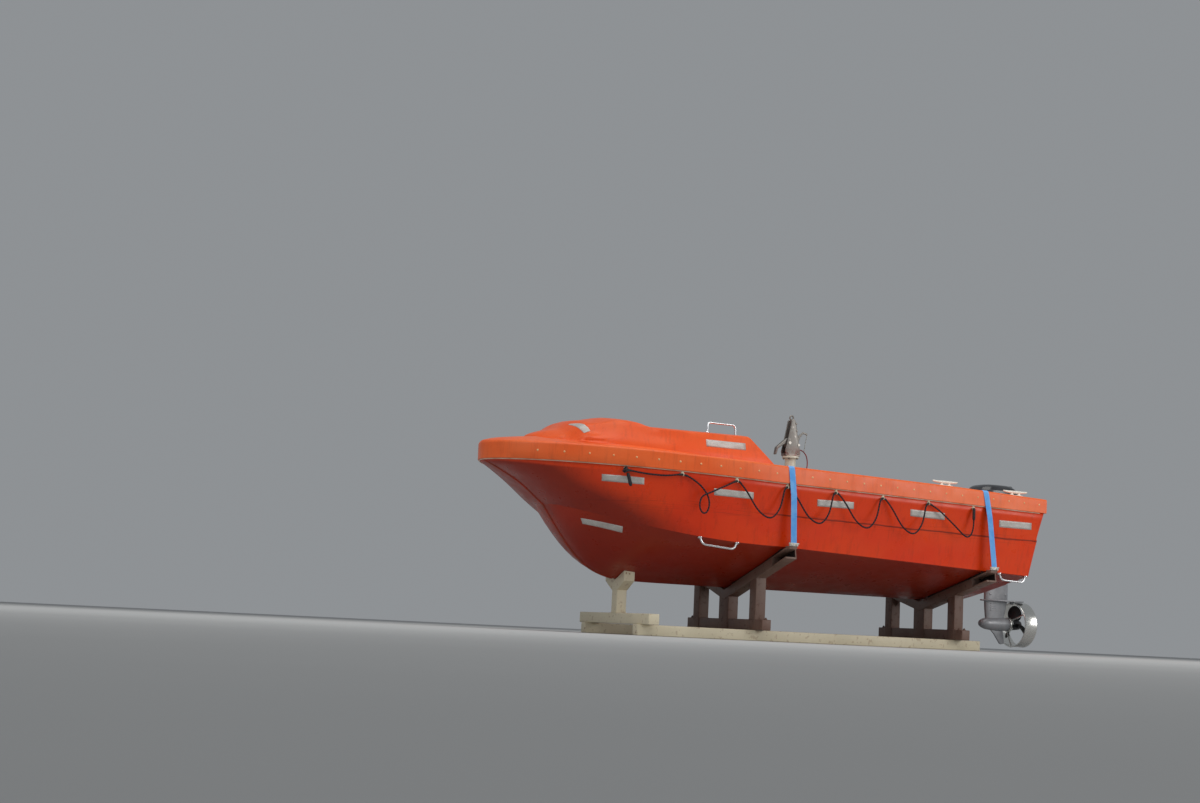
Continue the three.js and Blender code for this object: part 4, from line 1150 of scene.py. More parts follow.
ROPE_EYE = SimpleNamespace(base=0.0135, thick=0.004, major=0.0092, minor=0.0026, above=0.01)
WHIPPING_R = 0.0078
eyes, whippings = [], []
rope_marks = [
    min(
        range(len(port_line)),
        key=lambda i, x=x: abs(port_line[i].x - x) + abs(port_line[i].z - fitting_at(x).z))
    for x in FITTING_X]
for mark, x in zip(rope_marks, FITTING_X):
    rope_at = port_line[mark]
    skin, out = on_hull(hull_skin, x, rope_at.z + ROPE_EYE.above)
    base = [
        (0, -0.002), (ROPE_EYE.base, -0.002), (ROPE_EYE.base, ROPE_EYE.thick * 0.5),
        (ROPE_EYE.base * 0.86, ROPE_EYE.thick), (ROPE_EYE.base * 0.4, ROPE_EYE.thick + 0.0012),
        (0, ROPE_EYE.thick + 0.0012)]
    eyes.append(lathe("eye_base", base, skin, out, 20))
    eyes.append(ring_piece("eye_ring", rope_at, (1, 0, 0), ROPE_EYE.major, ROPE_EYE.minor))
    for step in (-1, 1):
        span = [mark + step * k for k in range(1, 6) if 0 <= mark + step * k < len(port_line)]
        if len(span) == 5:
            whippings.append(tube(
                "whipping", [port_line[i] for i in span],
                [WHIPPING_R * s for s in (0.84, 1.0, 1.04, 1.0, 0.84)], 12))
nylon = mottled("cream_nylon", (40,), (0.4, 0.7), ((236, 226, 200), (204, 186, 150)), Roughness=0.42)
both_sides(joined(eyes, "rope_eyes"), "rope_eyes", nylon)
twine, tree, shader = new_finish("black_twine", Roughness=0.8)
turns = ramp(
    tree,
    add_node(
        tree, "TexWave", {"Vector": coordinates(tree), "Scale": 120.0},
        bands_direction="DIAGONAL").outputs["Fac"], 0, 1)
feed(tree, shader, blend(tree, turns, srgb(18, 17, 20), srgb(52, 49, 54)))
bump(tree, shader, turns, 0.0008)
both_sides(joined(whippings, "rope_whippings"), "rope_whippings", twine)


def hand_toggle(top, bottom, width):
    """A fat grip with a waist and rounded ends, between two places."""
    down = bottom - top
    shares = (0.0, 0.03, 0.1, 0.22, 0.5, 0.78, 0.9, 0.97, 1.0)
    sizes = (0.25, 0.62, 0.88, 1.0, 0.94, 1.0, 0.88, 0.55, 0.15)
    return tube("grip", [top + down * s for s in shares], [width / 2 * s for s in sizes], 14)


start, end = port_line[0], port_line[-1]
toggles = [
    hand_toggle(start + Vector((-0.01, 0.01, -0.022)), start + Vector((-0.04, 0.012, -0.118)), 0.026),
    hand_toggle(end + Vector((0.003, 0.006, 0.008)), end + Vector((0.004, 0.006, -0.092)), 0.024)]
for turn_at, axis in (
        (Vector((0.006, 0.004, 0.004)), (0.9, 0.3, 0.3)),
        (Vector((-0.006, 0.006, -0.004)), (0.2, 0.5, 0.9)),
        (Vector((0.002, 0.008, -0.014)), (0.6, -0.2, 0.8)),
        (Vector((0.012, 0.006, -0.01)), (0.1, 0.3, -0.9))):
    toggles.append(ring_piece("knot_turn", start + turn_at, axis, 0.013, 0.0058, 24, 10))
both_sides(joined(toggles, "hand_toggles"), "hand_toggles", twine)

# Hand rails: polished stainless tube, bent over a former and welded to small round feet. One stands
# on each side of the cuddy's roof, and two hang under the chine on each side of the bottom.
STRAIGHT_STEP = 0.024


def bent_line(points, bend):
    """A line of straight runs between the points with round bends at the corners."""
    line = [points[0]]
    for a, b, c in zip(points, points[1:], points[2:]):
        back, on = (a - b), (c - b)
        reach = min(bend, back.length * 0.49, on.length * 0.49)
        p, q = b + back.normalized() * reach, b + on.normalized() * reach
        for k in range(9):
            t = k / 8
            line.append(p * (1 - t) ** 2 + b * 2 * t * (1 - t) + q * t * t)
    line.append(points[-1])
    filled = []
    for a, b in zip(line, line[1:]):
        count = max(1, round((b - a).length / STRAIGHT_STEP))
        filled += [a.lerp(b, k / count) for k in range(count)]
    return filled + [line[-1]]


def polished(name, tint=(0.74, 0.75, 0.77, 1.0)):
    """Polished stainless with fine drawing marks and a few tea stains."""
    finish, tree, shader = new_finish(name, Metallic=1.0)
    stain = ramp(tree, noise(tree, 16, detail=6, rough=0.7), 0.6, 0.78, 0, 0.5)
    feed(tree, shader, blend(tree, stain, tint, srgb(158, 120, 88)))
    drawn = noise(tree, 30, (1, 14, 14), detail=4)
    tree.links.new(ramp(tree, drawn, 0.3, 0.7, 0.14, 0.34), shader.inputs["Roughness"])
    bump(tree, shader, drawn, 0.0001)
    return finish


RAIL_R = 0.008
FLANGE = SimpleNamespace(r=0.021, thick=0.005)
steel_finish = polished("polished_stainless")


def flange(place, axis, r=FLANGE.r, thick=FLANGE.thick):
    return lathe(
        "flange",
        [
            (0, -0.004), (r, -0.004), (r, thick * 0.6), (r * 0.9, thick), (RAIL_R * 1.5, thick),
            (RAIL_R * 1.1, thick + 0.004), (0, thick + 0.004)], place, axis, 24)


ROOF_RAIL = SimpleNamespace(x0=0.398, x1=0.645, y=0.47, top=1.612, bend=0.03)


def onto(piece, x, y):
    """The place and upward direction of a piece's skin under (x, y)."""
    hit, place, normal, _ = piece.ray_cast(Vector((x, y, 2.0)), Vector((0, 0, -1)))
    return place if hit else Vector((x, y, deck_z(x))), normal


feet = [onto(cuddy_skin, x, ROOF_RAIL.y) for x in (ROOF_RAIL.x0, ROOF_RAIL.x1)]
sunk = Vector((0, 0, 0.006))
tops = [Vector((x, ROOF_RAIL.y, ROOF_RAIL.top)) for x in (ROOF_RAIL.x0 + 0.003, ROOF_RAIL.x1 - 0.003)]
roof_rail = tube(
    "rail", bent_line([feet[0][0] - sunk, *tops, feet[1][0] - sunk], ROOF_RAIL.bend), RAIL_R, 16)
roof_rail = joined([roof_rail, *[flange(place, normal) for place, normal in feet]], "roof_rail")
both_sides(roof_rail, "roof_hand_rail", steel_finish, "roof_rail")

BILGE_RAIL = SimpleNamespace(drop=0.05, inset=0.01, splay=0.024, bend=0.03)
for name, x0, x1 in (("fore", 0.54, 0.83), ("aft", -2.165, -1.895)):
    ends = []
    for x in (x0, x1):
        y, z = level_at(CHINE, x)
        ends.append(Vector((x, y - BILGE_RAIL.inset, z)))
    down = Vector((0, 0, -BILGE_RAIL.drop))
    splay = Vector((BILGE_RAIL.splay, 0, 0))
    rail = tube(
        "rail",
        bent_line(
            [
                ends[0] + Vector((0, 0, 0.002)), ends[0] + splay + down, ends[1] - splay + down,
                ends[1] + Vector((0, 0, 0.002))], BILGE_RAIL.bend), RAIL_R, 16)
    tabs = [flange(end - Vector((0, 0, 0.004)), (0, 0.25, -1), 0.018, 0.004) for end in ends]
    both_sides(
        joined([rail, *tabs], "bilge_rail"), f"bilge_hand_rail_{name}", steel_finish,
        f"bilge_rail_{name}")

# Cleats: cast horn cleats in chipped white enamel, bolted through the side decks, two on each side.
# Each has a long horn on two feet that flare into a flat base.
def block_piece(name, low, high, edge, segments=3):
    """A block between two corners with softened edges."""
    block = started(name, bpy.ops.mesh.primitive_cube_add, size=1)
    for vertex in block.data.vertices:
        vertex.co = Vector([mix(a, b, c + 0.5) for a, b, c in zip(low, high, vertex.co)])
    pick(block, "EDGE", lambda c, e: True)
    bevel(edge, segments)
    leave_edit()
    bpy.ops.object.shade_smooth_by_angle(angle=math.radians(35))
    return block


CLEAT = SimpleNamespace(length=0.244, height=0.044, bar=0.011, foot=0.036, y=0.845)
enamel = mottled(
    "white_enamel", (34, 6, 0.7), (0.6, 0.68), ((240, 234, 220), (176, 150, 124)), (0.32, 0.6),
    Coat_Weight=0.3, Coat_Roughness=0.2)
for name, x in (("mid", -1.3), ("aft", -1.997)):
    z = deck_z(x)
    y = CLEAT.y
    horn_line = [
        Vector((x + s * CLEAT.length / 2, y, z + CLEAT.height - 0.011 + lift))
        for s, lift in (
            (-1.0, 0.006), (-0.97, 0.0056), (-0.85, 0.003), (-0.6, 0.0005), (-0.3, 0), (0, 0), (0.3, 0),
            (0.6, 0.0005), (0.85, 0.003), (0.97, 0.0056), (1.0, 0.006))]
    sizes = [CLEAT.bar * s for s in (0.2, 0.5, 0.72, 0.88, 1, 1, 1, 0.88, 0.72, 0.5, 0.2)]
    parts = [
        tube("horn", horn_line, sizes, 16),
        block_piece("base", (x - 0.06, y - 0.021, z), (x + 0.06, y + 0.021, z + 0.009), 0.004)]
    for s in (-1, 1):
        foot_x = x + s * CLEAT.foot
        parts.append(lathe(
            "foot",
            [(0, 0.002), (0.017, 0.002), (0.0165, 0.01), (0.011, 0.018), (0.0095, 0.034), (0, 0.036)],
            (foot_x, y, z), (0, 0, 1), 18))
        parts.append(lathe(
            "bolt", [(0, 0.008), (0.0062, 0.008), (0.0062, 0.01), (0.003, 0.012), (0, 0.012)],
            (x + s * 0.053, y, z), (0, 0, 1), 12))
    both_sides(joined(parts, "cleat"), f"horn_cleat_{name}", enamel, f"cleat_{name}")


# Hatch: a flat glass lid on the cuddy's slope, with a raised panel, a rubber gasket under its
# rim, two stainless hinges at the top, two turn catches and a lift handle at the foot.
HINGE = SimpleNamespace(y=0.19, along=-0.012, lift=0.014, pin=0.009)
lid = slab_on_slope("lid", 0.004, HATCH.length, HATCH.half, 0.006, HATCH.thick, 0.03, 0.006)
raised = slab_on_slope(
    "panel", 0.034, HATCH.length - 0.04, HATCH.half - 0.045, HATCH.thick - 0.004, HATCH.thick + 0.005,
    0.024, 0.0045)
hatch_lid = close_and_smooth(joined([lid, raised], "hatch_lid"), 40, 1e-6)
# The hatch's orange is lighter and yellower than the hull's: painted light on the same gelcoat.
hatch_finish = gelcoat(
    "hatch_gelcoat", srgb(234, 88, 28), srgb(238, 104, 46), srgb(164, 66, 34), gloss=0.38)
fix(hatch_lid, hatch_finish, "hatch", ("cuddy_hatch",))

black_rubber = mottled(
    "black_rubber", (20, 6), (0.4, 0.7), ((26, 26, 27), (52, 50, 48)), relief=(260, 2, 0.0004),
    Roughness=0.75, Specular_IOR_Level=0.3)
gasket = slab_on_slope(
    "hatch_gasket", 0.01, HATCH.length - 0.006, HATCH.half - 0.006, 0.001, 0.0062, 0.026, 0.002)
fix(close_and_smooth(gasket, 40, 1e-6), black_rubber, "hatch")


def slab_beside(y, *sizes):
    """A slab on the slope, moved to port by y."""
    slab = slab_on_slope(*sizes)
    slab.data.transform(Matrix.Translation((0, y, 0)))
    return slab


fixed_hinge, moving_hinge = [], []
for side in (-1, 1):
    y = side * HINGE.y
    pivot = on_slope(HINGE.along, y, HINGE.lift)
    fixed_hinge.append(slab_beside(y, "leaf", -0.038, -0.004, 0.026, 0.0002, 0.004, 0.006, 0.0012))
    knuckle = [(0, -0.033), (HINGE.pin, -0.033), (HINGE.pin, 0.033), (0, 0.033)]
    fixed_hinge.append(lathe("pin", knuckle, pivot, (0, 1, 0), 20))
    fixed_hinge.append(slab_beside(y, "riser", -0.019, -0.005, 0.026, 0.002, 0.014, 0.003, 0.0012))
    for off in (-0.046, 0.046):
        moving_hinge.append(slab_beside(
            y + off, "arm", -0.022, 0.062, 0.0115, HATCH.thick - 0.001, HATCH.thick + 0.004, 0.006, 0.0014))
        knuckle_at = on_slope(HINGE.along, y + off, HINGE.lift)
        moving_hinge.append(lathe(
            "knuckle", [(0, -0.0115), (0.0125, -0.0115), (0.0125, 0.0115), (0, 0.0115)], knuckle_at,
            (0, 1, 0), 20))
        for along in (0.022, 0.046):
            moving_hinge.append(lathe(
                "screw", [(0, 0), (0.0045, 0), (0.0042, 0.0016), (0, 0.0022)],
                on_slope(along, y + off, HATCH.thick + 0.0035), OFF_SLOPE, 12))
for y in (-0.205, 0.205):
    at = on_slope(HATCH.length - 0.036, y, HATCH.thick)
    moving_hinge.append(lathe(
        "catch_boss", [(0, 0), (0.016, 0), (0.016, 0.003), (0.012, 0.01), (0, 0.012)], at, OFF_SLOPE, 24))
    moving_hinge.append(slab_beside(
        y, "dog", HATCH.length - 0.05, HATCH.length - 0.022, 0.006, HATCH.thick + 0.009,
        HATCH.thick + 0.018, 0.004, 0.002))
handle = [
    on_slope(HATCH.length - 0.04, y, HATCH.thick + out)
    for y, out in ((-0.055, -0.002), (-0.055, 0.03), (0.055, 0.03), (0.055, -0.002))]
moving_hinge.append(tube("handle", bent_line(handle, 0.018), 0.006, 14))
build(fixed_hinge, "hatch_hinge_leaves", 40, steel_finish)
build(moving_hinge, "hatch_hinge_arms", 40, steel_finish, "hatch")

# Locker bulkhead: a flat laminate panel glassed in across the boat, in the liner's pale gelcoat,
# with a fiddle along its top edge.
BULKHEAD = SimpleNamespace(x=0.13, thick=0.025)


def pale_gelcoat(name):
    finish, tree, shader = new_finish(name, Coat_Weight=0.2, Coat_Roughness=0.2)
    fade = ramp(tree, noise(tree, 3, detail=6), 0.35, 0.7)
    base = blend(tree, fade, srgb(206, 203, 194), srgb(190, 186, 176))
    scuffs = ramp(tree, noise(tree, 16, (3, 3, 0.7), detail=7, rough=0.75), 0.58, 0.7, 0, 0.5)
    base = blend(tree, scuffs, base, srgb(128, 120, 108))
    feed(tree, shader, base, ramp(tree, noise(tree, 12), 0.3, 0.7, 0.3, 0.5))
    bump(tree, shader, noise(tree, 26, detail=3), 0.0005)
    return finish


liner_finish = pale_gelcoat("pale_gelcoat")
panel_half = COCKPIT.half - 0.0005
panel_top = deck_z(BULKHEAD.x) - 0.004
panel = block_piece(
    "panel", (BULKHEAD.x, -panel_half, SOLE_Z + 0.001),
    (BULKHEAD.x + BULKHEAD.thick, panel_half, panel_top), 0.005)
fiddle = block_piece(
    "fiddle", (BULKHEAD.x - 0.012, -panel_half + 0.03, panel_top - 0.035),
    (BULKHEAD.x + 0.004, panel_half - 0.03, panel_top - 0.004), 0.006)
fix(joined([panel, fiddle], "bulkhead_panel"), liner_finish, replaced=("locker_bulkhead",))

# Helm console: a pale gelcoat pedestal with a sloping dash, radiused all round. It carries two
# gauges, a switch row under rubber boots, an engine control with its lever, and a compass.
CONSOLE = SimpleNamespace(x0=-0.33, x1=-0.07, y0=-0.56, y1=-0.18, top=1.35)
CONSOLE_SIDE = (
    (CONSOLE.x0 + 0.07, SOLE_Z + 0.0005), (CONSOLE.x1, SOLE_Z + 0.0005), (CONSOLE.x1, CONSOLE.top - 0.03),
    (CONSOLE.x1 - 0.06, CONSOLE.top), (CONSOLE.x0 + 0.13, CONSOLE.top),
    (CONSOLE.x0 + 0.02, CONSOLE.top - 0.13), (CONSOLE.x0, CONSOLE.top - 0.23),
    (CONSOLE.x0 + 0.05, CONSOLE.top - 0.3))


def cut_plate(name, corners, move, edge, segments, angle=20, smooth=35):
    """A plate with these corners, drawn out by a move, with softened edges."""
    plate = started(
        name, bpy.ops.mesh.primitive_circle_add, vertices=len(corners), radius=1, fill_type="NGON")
    for vertex, corner in zip(plate.data.vertices, corners):
        vertex.co = corner
    pick(plate, "FACE", lambda c, f: True)
    bpy.ops.mesh.extrude_region_move(TRANSFORM_OT_translate={"value": move})
    bpy.ops.mesh.select_all(action="SELECT")
    bpy.ops.mesh.normals_make_consistent(inside=False)
    pick(plate, "EDGE", lambda c, e: e.calc_face_angle(0) > math.radians(angle))
    bevel(edge, segments)
    leave_edit()
    bpy.ops.object.shade_smooth_by_angle(angle=math.radians(smooth))
    return plate


def outline_piece(name, outline, y0, y1, edge, segments=3):
    """A plate cut to an (x, z) outline, from y0 to y1."""
    return cut_plate(name, [(x, y0, z) for x, z in outline], (0, y1 - y0, 0), edge, segments)


console = outline_piece("console", CONSOLE_SIDE, CONSOLE.y0, CONSOLE.y1, 0.016, 4)
door = block_piece("door", (CONSOLE.x0 + 0.046, -0.5, 0.76), (CONSOLE.x0 + 0.064, -0.24, 1.01), 0.006)
fix(joined([console, door], "helm_pedestal"), liner_finish, replaced=("helm_console",))

satin_black = mottled(
    "satin_black_plastic", (11, 6), (0.4, 0.7), ((24, 25, 27), (44, 45, 47)), (18, 0.32, 0.52),
    (420, 2, 0.00015), Specular_IOR_Level=0.5)

DASH_LOW = Vector((CONSOLE.x0 + 0.02, 0, CONSOLE.top - 0.13))
DASH_UP = (Vector((CONSOLE.x0 + 0.13, 0, CONSOLE.top)) - DASH_LOW).normalized()
DASH_OUT = Vector((-DASH_UP.z, 0, DASH_UP.x))
dash_parts, dial_parts = [], []
for y, r in ((-0.25, 0.034), (-0.49, 0.034)):
    at = DASH_LOW + DASH_UP * 0.105 + Vector((0, y, 0))
    dash_parts.append(lathe(
        "bezel",
        [
            (0, 0.001), (r * 0.86, 0.001), (r * 0.88, 0.006), (r, 0.006), (r * 1.08, 0.002),
            (r * 1.08, -0.004), (0, -0.004)], at, DASH_OUT, 32))
    dial_parts.append(lathe(
        "dial", [(0, 0.0018), (r * 0.84, 0.0018), (r * 0.84, 0.0009), (0, 0.0009)], at, DASH_OUT, 32))
for i in range(3):
    at = DASH_LOW + DASH_UP * 0.04 + Vector((0, -0.225 - 0.026 * i, 0))
    dash_parts.append(lathe(
        "switch_boot", [(0, 0.016), (0.003, 0.015), (0.0035, 0.006), (0.009, 0.003), (0.009, 0), (0, 0)],
        at, DASH_OUT, 16))
compass_at = Vector((-0.135, -0.37, CONSOLE.top))
dash_parts.append(lathe(
    "compass",
    [
        (0, 0), (0.05, 0), (0.052, 0.008), (0.044, 0.022), (0.04, 0.024), (0.037, 0.04), (0.026, 0.054),
        (0.012, 0.06), (0, 0.061)], compass_at, (0, 0, 1), 32))
control = block_piece(
    "control", (-0.245, CONSOLE.y1 - 0.001, 1.17), (-0.135, CONSOLE.y1 + 0.03, 1.3), 0.012, 4)
dash_parts.append(control)
lever_line = bent_line(
    [
        Vector((-0.19, CONSOLE.y1 + 0.028, 1.24)), Vector((-0.19, CONSOLE.y1 + 0.046, 1.24)),
        Vector((-0.165, CONSOLE.y1 + 0.046, 1.4)), Vector((-0.165, CONSOLE.y1 + 0.012, 1.425))], 0.014)
dash_parts.append(tube("lever", lever_line, 0.0055, 12))
dash_parts.append(hand_toggle(
    lever_line[-1] + Vector((0, 0.022, -0.014)), lever_line[-1] + Vector((0, -0.044, 0.012)), 0.026))
build(dash_parts, "dash_instruments", 40, satin_black)
dial_white = mottled(
    "dial_face", (60,), (0.45, 0.55), ((224, 222, 212), (206, 204, 194)), Roughness=0.35, Coat_Weight=0.8,
    Coat_Roughness=0.05)
fix(joined(dial_parts, "gauge_dials"), dial_white)

# Steering wheel: a rubber-skinned rim with finger scallops on three pressed spokes and a domed
# hub, on a shaft that leans back from the dash in a moulded cone.
WHEEL = SimpleNamespace(x=-0.372, y=-0.37, z=1.296, r=0.16, rim=0.0125, lean=math.radians(30))
wheel_at = Vector((WHEEL.x, WHEEL.y, WHEEL.z))
wheel_axis = Vector((-math.cos(WHEEL.lean), 0, math.sin(WHEEL.lean)))
wheel_up = Vector((math.sin(WHEEL.lean), 0, math.cos(WHEEL.lean)))
wheel_side = Vector((0, -1, 0))


def on_wheel(r, angle, out):
    return (wheel_at + wheel_side * r * math.cos(angle) + wheel_up * r * math.sin(angle) + wheel_axis * out)


SCALLOPS = 36


def rim_place(column, row):
    around = 2 * math.pi * row / (SCALLOPS * 4)
    a = 2 * math.pi * column / 14
    grip = WHEEL.rim * (1 - 0.1 * max(0.0, -math.sin(a)) * (1 + math.cos(around * SCALLOPS)))
    return on_wheel(WHEEL.r + grip * math.cos(a), around, grip * math.sin(a))


rim = close_and_smooth(placed_grid("rim", 15, SCALLOPS * 4 + 1, rim_place), 60)
wheel_parts = [
    rim,
    lathe(
        "hub",
        [
            (0, -0.018), (0.036, -0.018), (0.037, -0.006), (0.033, 0.008), (0.026, 0.016), (0.012, 0.0195),
            (0, 0.02)], wheel_at, wheel_axis, 32)]
for i in range(3):
    angle = math.pi / 2 + 2 * math.pi * i / 3

    def spoke_place(column, row, angle=angle):
        t = column / 10
        r = mix(0.02, WHEEL.r - 0.004, t)
        half = mix(0.018, 0.011, math.sin(math.pi * t * 0.5))
        rise = -0.006 + 0.006 * math.sin(math.pi * t)
        side, out = (
            (-1, -0.6), (-1, 0.2), (-0.75, 0.9), (0, 1.0), (0.75, 0.9), (1, 0.2), (1, -0.6), (0.7, -0.9),
            (-0.7, -0.9), (-1, -0.6))[row]
        return on_wheel(r, angle, rise + out * 0.0045) + (
            -wheel_side * math.sin(angle) + wheel_up * math.cos(angle)) * side * half

    wheel_parts.append(close_and_smooth(capped(placed_grid("spoke", 11, 10, spoke_place)), 50))
build(wheel_parts, "helm_wheel_rim", 50, satin_black, "helm_wheel", ("steering_wheel",))
shaft_cone = lathe(
    "shaft_cone", [(0, -0.1), (0.044, -0.1), (0.04, -0.07), (0.03, -0.03), (0.025, -0.0195), (0, -0.0195)],
    wheel_at, wheel_axis, 28)
fix(shaft_cone, satin_black)

# Helm seat: a gelcoat box with a hinged lid and a vent, under a padded vinyl cushion with piped
# seams and a sewn cross.
SEAT = SimpleNamespace(x0=-1.01, x1=-0.72, y0=-0.56, y1=-0.19, top=1.01, cushion=0.072)
seat_box = block_piece(
    "seat_box", (SEAT.x0 + 0.006, SEAT.y0 + 0.006, SOLE_Z + 0.0005),
    (SEAT.x1 - 0.006, SEAT.y1 - 0.006, SEAT.top - 0.03), 0.018, 4)
seat_lid = block_piece(
    "seat_lid", (SEAT.x0, SEAT.y0, SEAT.top - 0.026), (SEAT.x1, SEAT.y1, SEAT.top), 0.008, 3)
plinth = block_piece(
    "plinth", (SEAT.x0 - 0.004, SEAT.y0 - 0.004, SOLE_Z + 0.0005),
    (SEAT.x1 + 0.004, SEAT.y1 + 0.004, SOLE_Z + 0.022), 0.006, 3)
vents = []
for i in range(5):
    z = 0.8 + i * 0.022
    vents.append(block_piece(
        "louvre", (SEAT.x0 + 0.06, SEAT.y1 - 0.008, z), (SEAT.x1 - 0.06, SEAT.y1 - 0.001, z + 0.009), 0.002,
        2))
fix(
    joined([seat_box, seat_lid, plinth, *vents], "seat_locker"), liner_finish,
    replaced=("helm_seat",))

CUSHION = SimpleNamespace(inset=0.01, low=SEAT.top + 0.0008, round=0.02, voxel=0.006, puff=0.009)
cushion = block_piece(
    "cushion", (SEAT.x0 + CUSHION.inset, SEAT.y0 + CUSHION.inset, CUSHION.low),
    (SEAT.x1 - CUSHION.inset, SEAT.y1 - CUSHION.inset, CUSHION.low + 0.054), CUSHION.round, 4)
CUSHION_MID = Vector(((SEAT.x0 + SEAT.x1) / 2, (SEAT.y0 + SEAT.y1) / 2, 0))
CUSHION_HALF = Vector((
    (SEAT.x1 - SEAT.x0) / 2, (SEAT.y1 - SEAT.y0) / 2, 0)) - Vector((CUSHION.inset, CUSHION.inset, 0))
select_only(cushion)
cushion.data.remesh_voxel_size = CUSHION.voxel
bpy.ops.object.voxel_remesh()
start_mesh = [v.co.copy() for v in cushion.data.vertices]
cloth = cushion.modifiers.new("foam", "CLOTH")
cloth.settings.use_pressure = True
cloth.settings.uniform_pressure_force = 4
cloth.settings.effector_weights.gravity = 0
cloth.settings.quality = 5
for frame_number in range(1, 21):
    bpy.context.scene.frame_set(frame_number)
bpy.ops.object.modifier_apply(modifier="foam")
bpy.context.scene.frame_set(1)
for vertex, home in zip(cushion.data.vertices, start_mesh):
    move = vertex.co - home
    if move.length > CUSHION.puff:
        move *= CUSHION.puff / move.length
    vertex.co = home + move
SEWN_LINE = 0.004
for vertex in cushion.data.vertices:
    u = (vertex.co.x - CUSHION_MID.x) / CUSHION_HALF.x
    v = (vertex.co.y - CUSHION_MID.y) / CUSHION_HALF.y
    high = vertex.co.z > CUSHION.low + 0.035
    if high:
        crown = 0.007 * (1 - min(1, u * u)) * (1 - min(1, v * v))
        seam = min(abs(vertex.co.x - CUSHION_MID.x), abs(vertex.co.y - CUSHION_MID.y))
        vertex.co.z += crown - 0.006 * math.exp(-((seam / SEWN_LINE) ** 2))
    vertex.co.z = min(max(vertex.co.z, CUSHION.low), SEAT.top + SEAT.cushion + 0.004)
    side_seam = abs(vertex.co.z - (CUSHION.low + 0.046))
    if max(abs(u), abs(v)) > 0.93:
        pull = 0.0016 * math.exp(-((side_seam / 0.0035) ** 2))
        vertex.co.x -= math.copysign(pull, u)
        vertex.co.y -= math.copysign(pull, v)
fine = cushion.modifiers.new("fine", "SUBSURF")
fine.levels = fine.render_levels = 1
apply_all(cushion)
close_and_smooth(cushion, 60)
vinyl, tree, shader = new_finish("grey_marine_vinyl", Sheen_Weight=0.1, Specular_IOR_Level=0.45)
grain = add_node(tree, "TexVoronoi", {"Vector": coordinates(tree), "Scale": 420.0}).outputs["Distance"]
worn = ramp(tree, noise(tree, 9, detail=6), 0.42, 0.7)
feed(
    tree, shader, blend(tree, worn, srgb(48, 52, 58), srgb(70, 74, 80)), ramp(tree, worn, 0, 1, 0.42, 0.58))
bump(tree, shader, grain, 0.0005)
fix(cushion, vinyl, replaced=("helm_cushion",))
cushion.name = "seat_cushion"
piping = []
for z in (CUSHION.low + 0.006, CUSHION.low + 0.051):
    loop = []
    for i in range(73):
        a = 2 * math.pi * i / 72
        c, s = math.cos(a), math.sin(a)
        loop.append(Vector((
            CUSHION_MID.x + (CUSHION_HALF.x + 0.0045) * math.copysign(abs(c) ** 0.28, c),
            CUSHION_MID.y + (CUSHION_HALF.y + 0.0045) * math.copysign(abs(s) ** 0.28, s), z)))
    piping.append(tube("piping", loop, 0.0028, 8))
build(piping, "cushion_piping", 60, satin_black)

# Aft thwart: a buoyancy box glassed to the sole, with two hinged lids let into its top, each
# with a finger ring and two bright hinges.
BENCH = SimpleNamespace(x0=-1.96, x1=-1.64, half=0.56, top=0.96)
bench = block_piece(
    "bench", (BENCH.x0, -BENCH.half, SOLE_Z + 0.0005), (BENCH.x1, BENCH.half, BENCH.top), 0.02, 4)
lids = []
for side in (-1, 1):
    y0, y1 = sorted((side * 0.03, side * (BENCH.half - 0.05)))
    lids.append(block_piece(
        "lid", (BENCH.x0 + 0.04, y0, BENCH.top - 0.01), (BENCH.x1 - 0.04, y1, BENCH.top + 0.006), 0.005, 3))
fix(joined([bench, *lids], "thwart_locker"), liner_finish, replaced=("aft_bench",))
thwart_metal = []
for side in (-1, 1):
    for off in (0.12, 0.4):
        y = side * (0.03 + off)
        thwart_metal.append(block_piece(
            "hinge", (BENCH.x0 + 0.022, y - 0.03, BENCH.top + 0.003),
            (BENCH.x0 + 0.06, y + 0.03, BENCH.top + 0.0085), 0.002, 2))
    thwart_metal.append(ring_piece(
        "finger_ring", Vector((BENCH.x1 - 0.075, side * 0.29, BENCH.top + 0.007)), (0, 0, 1), 0.02, 0.0035))
build(thwart_metal, "thwart_metalwork", 40, steel_finish)

# Lifting post: a galvanised and enamelled tube from the keel up through the sole, with a flange
# and four gussets below and a bolted flange above for the release hook.
HOOK = SimpleNamespace(x=-0.41, base=1.475, pivot=(0.033, 0.104), pin=0.009, lever=(-0.053, 0.092))
POST = SimpleNamespace(r=0.044, flange=0.13, plate=0.016, top=0.066)
post_at = (HOOK.x, 0, SOLE_Z)
rise = HOOK.base - SOLE_Z
post = lathe(
    "post",
    [
        (0, 0.0005), (POST.flange, 0.0005), (POST.flange, POST.plate - 0.003),
        (POST.flange - 0.003, POST.plate), (POST.r + 0.006, POST.plate),
        (POST.r + 0.001, POST.plate + 0.006), (POST.r, POST.plate + 0.014), (POST.r, rise - 0.03),
        (POST.r + 0.001, rise - 0.022), (POST.r + 0.006, rise - 0.0165), (POST.top, rise - 0.016),
        (POST.top, rise - 0.002), (POST.top - 0.002, rise - 0.0006), (0, rise - 0.0006)], post_at,
    (0, 0, 1), 48)
post_parts = [post]
for k in range(4):
    a = math.pi / 2 * k
    gusset = outline_piece(
        "gusset",
        (
            (POST.r - 0.004, POST.plate), (0.104, POST.plate), (0.104, 0.03), (0.056, 0.124),
            (POST.r - 0.004, 0.124)), -0.005, 0.005, 0.0015, 2)
    gusset.data.transform(Matrix.Translation(post_at) @ Matrix.Rotation(a, 4, "Z"))
    post_parts.append(gusset)
post_paint = mottled(
    "cream_post_paint", (18, 7, 0.72), (0.6, 0.72), ((226, 220, 202), (156, 138, 116)), (0.36, 0.62),
    (60, 3, 0.0003), stretch=(1, 1, 0.4), Coat_Weight=0.2, Coat_Roughness=0.25)
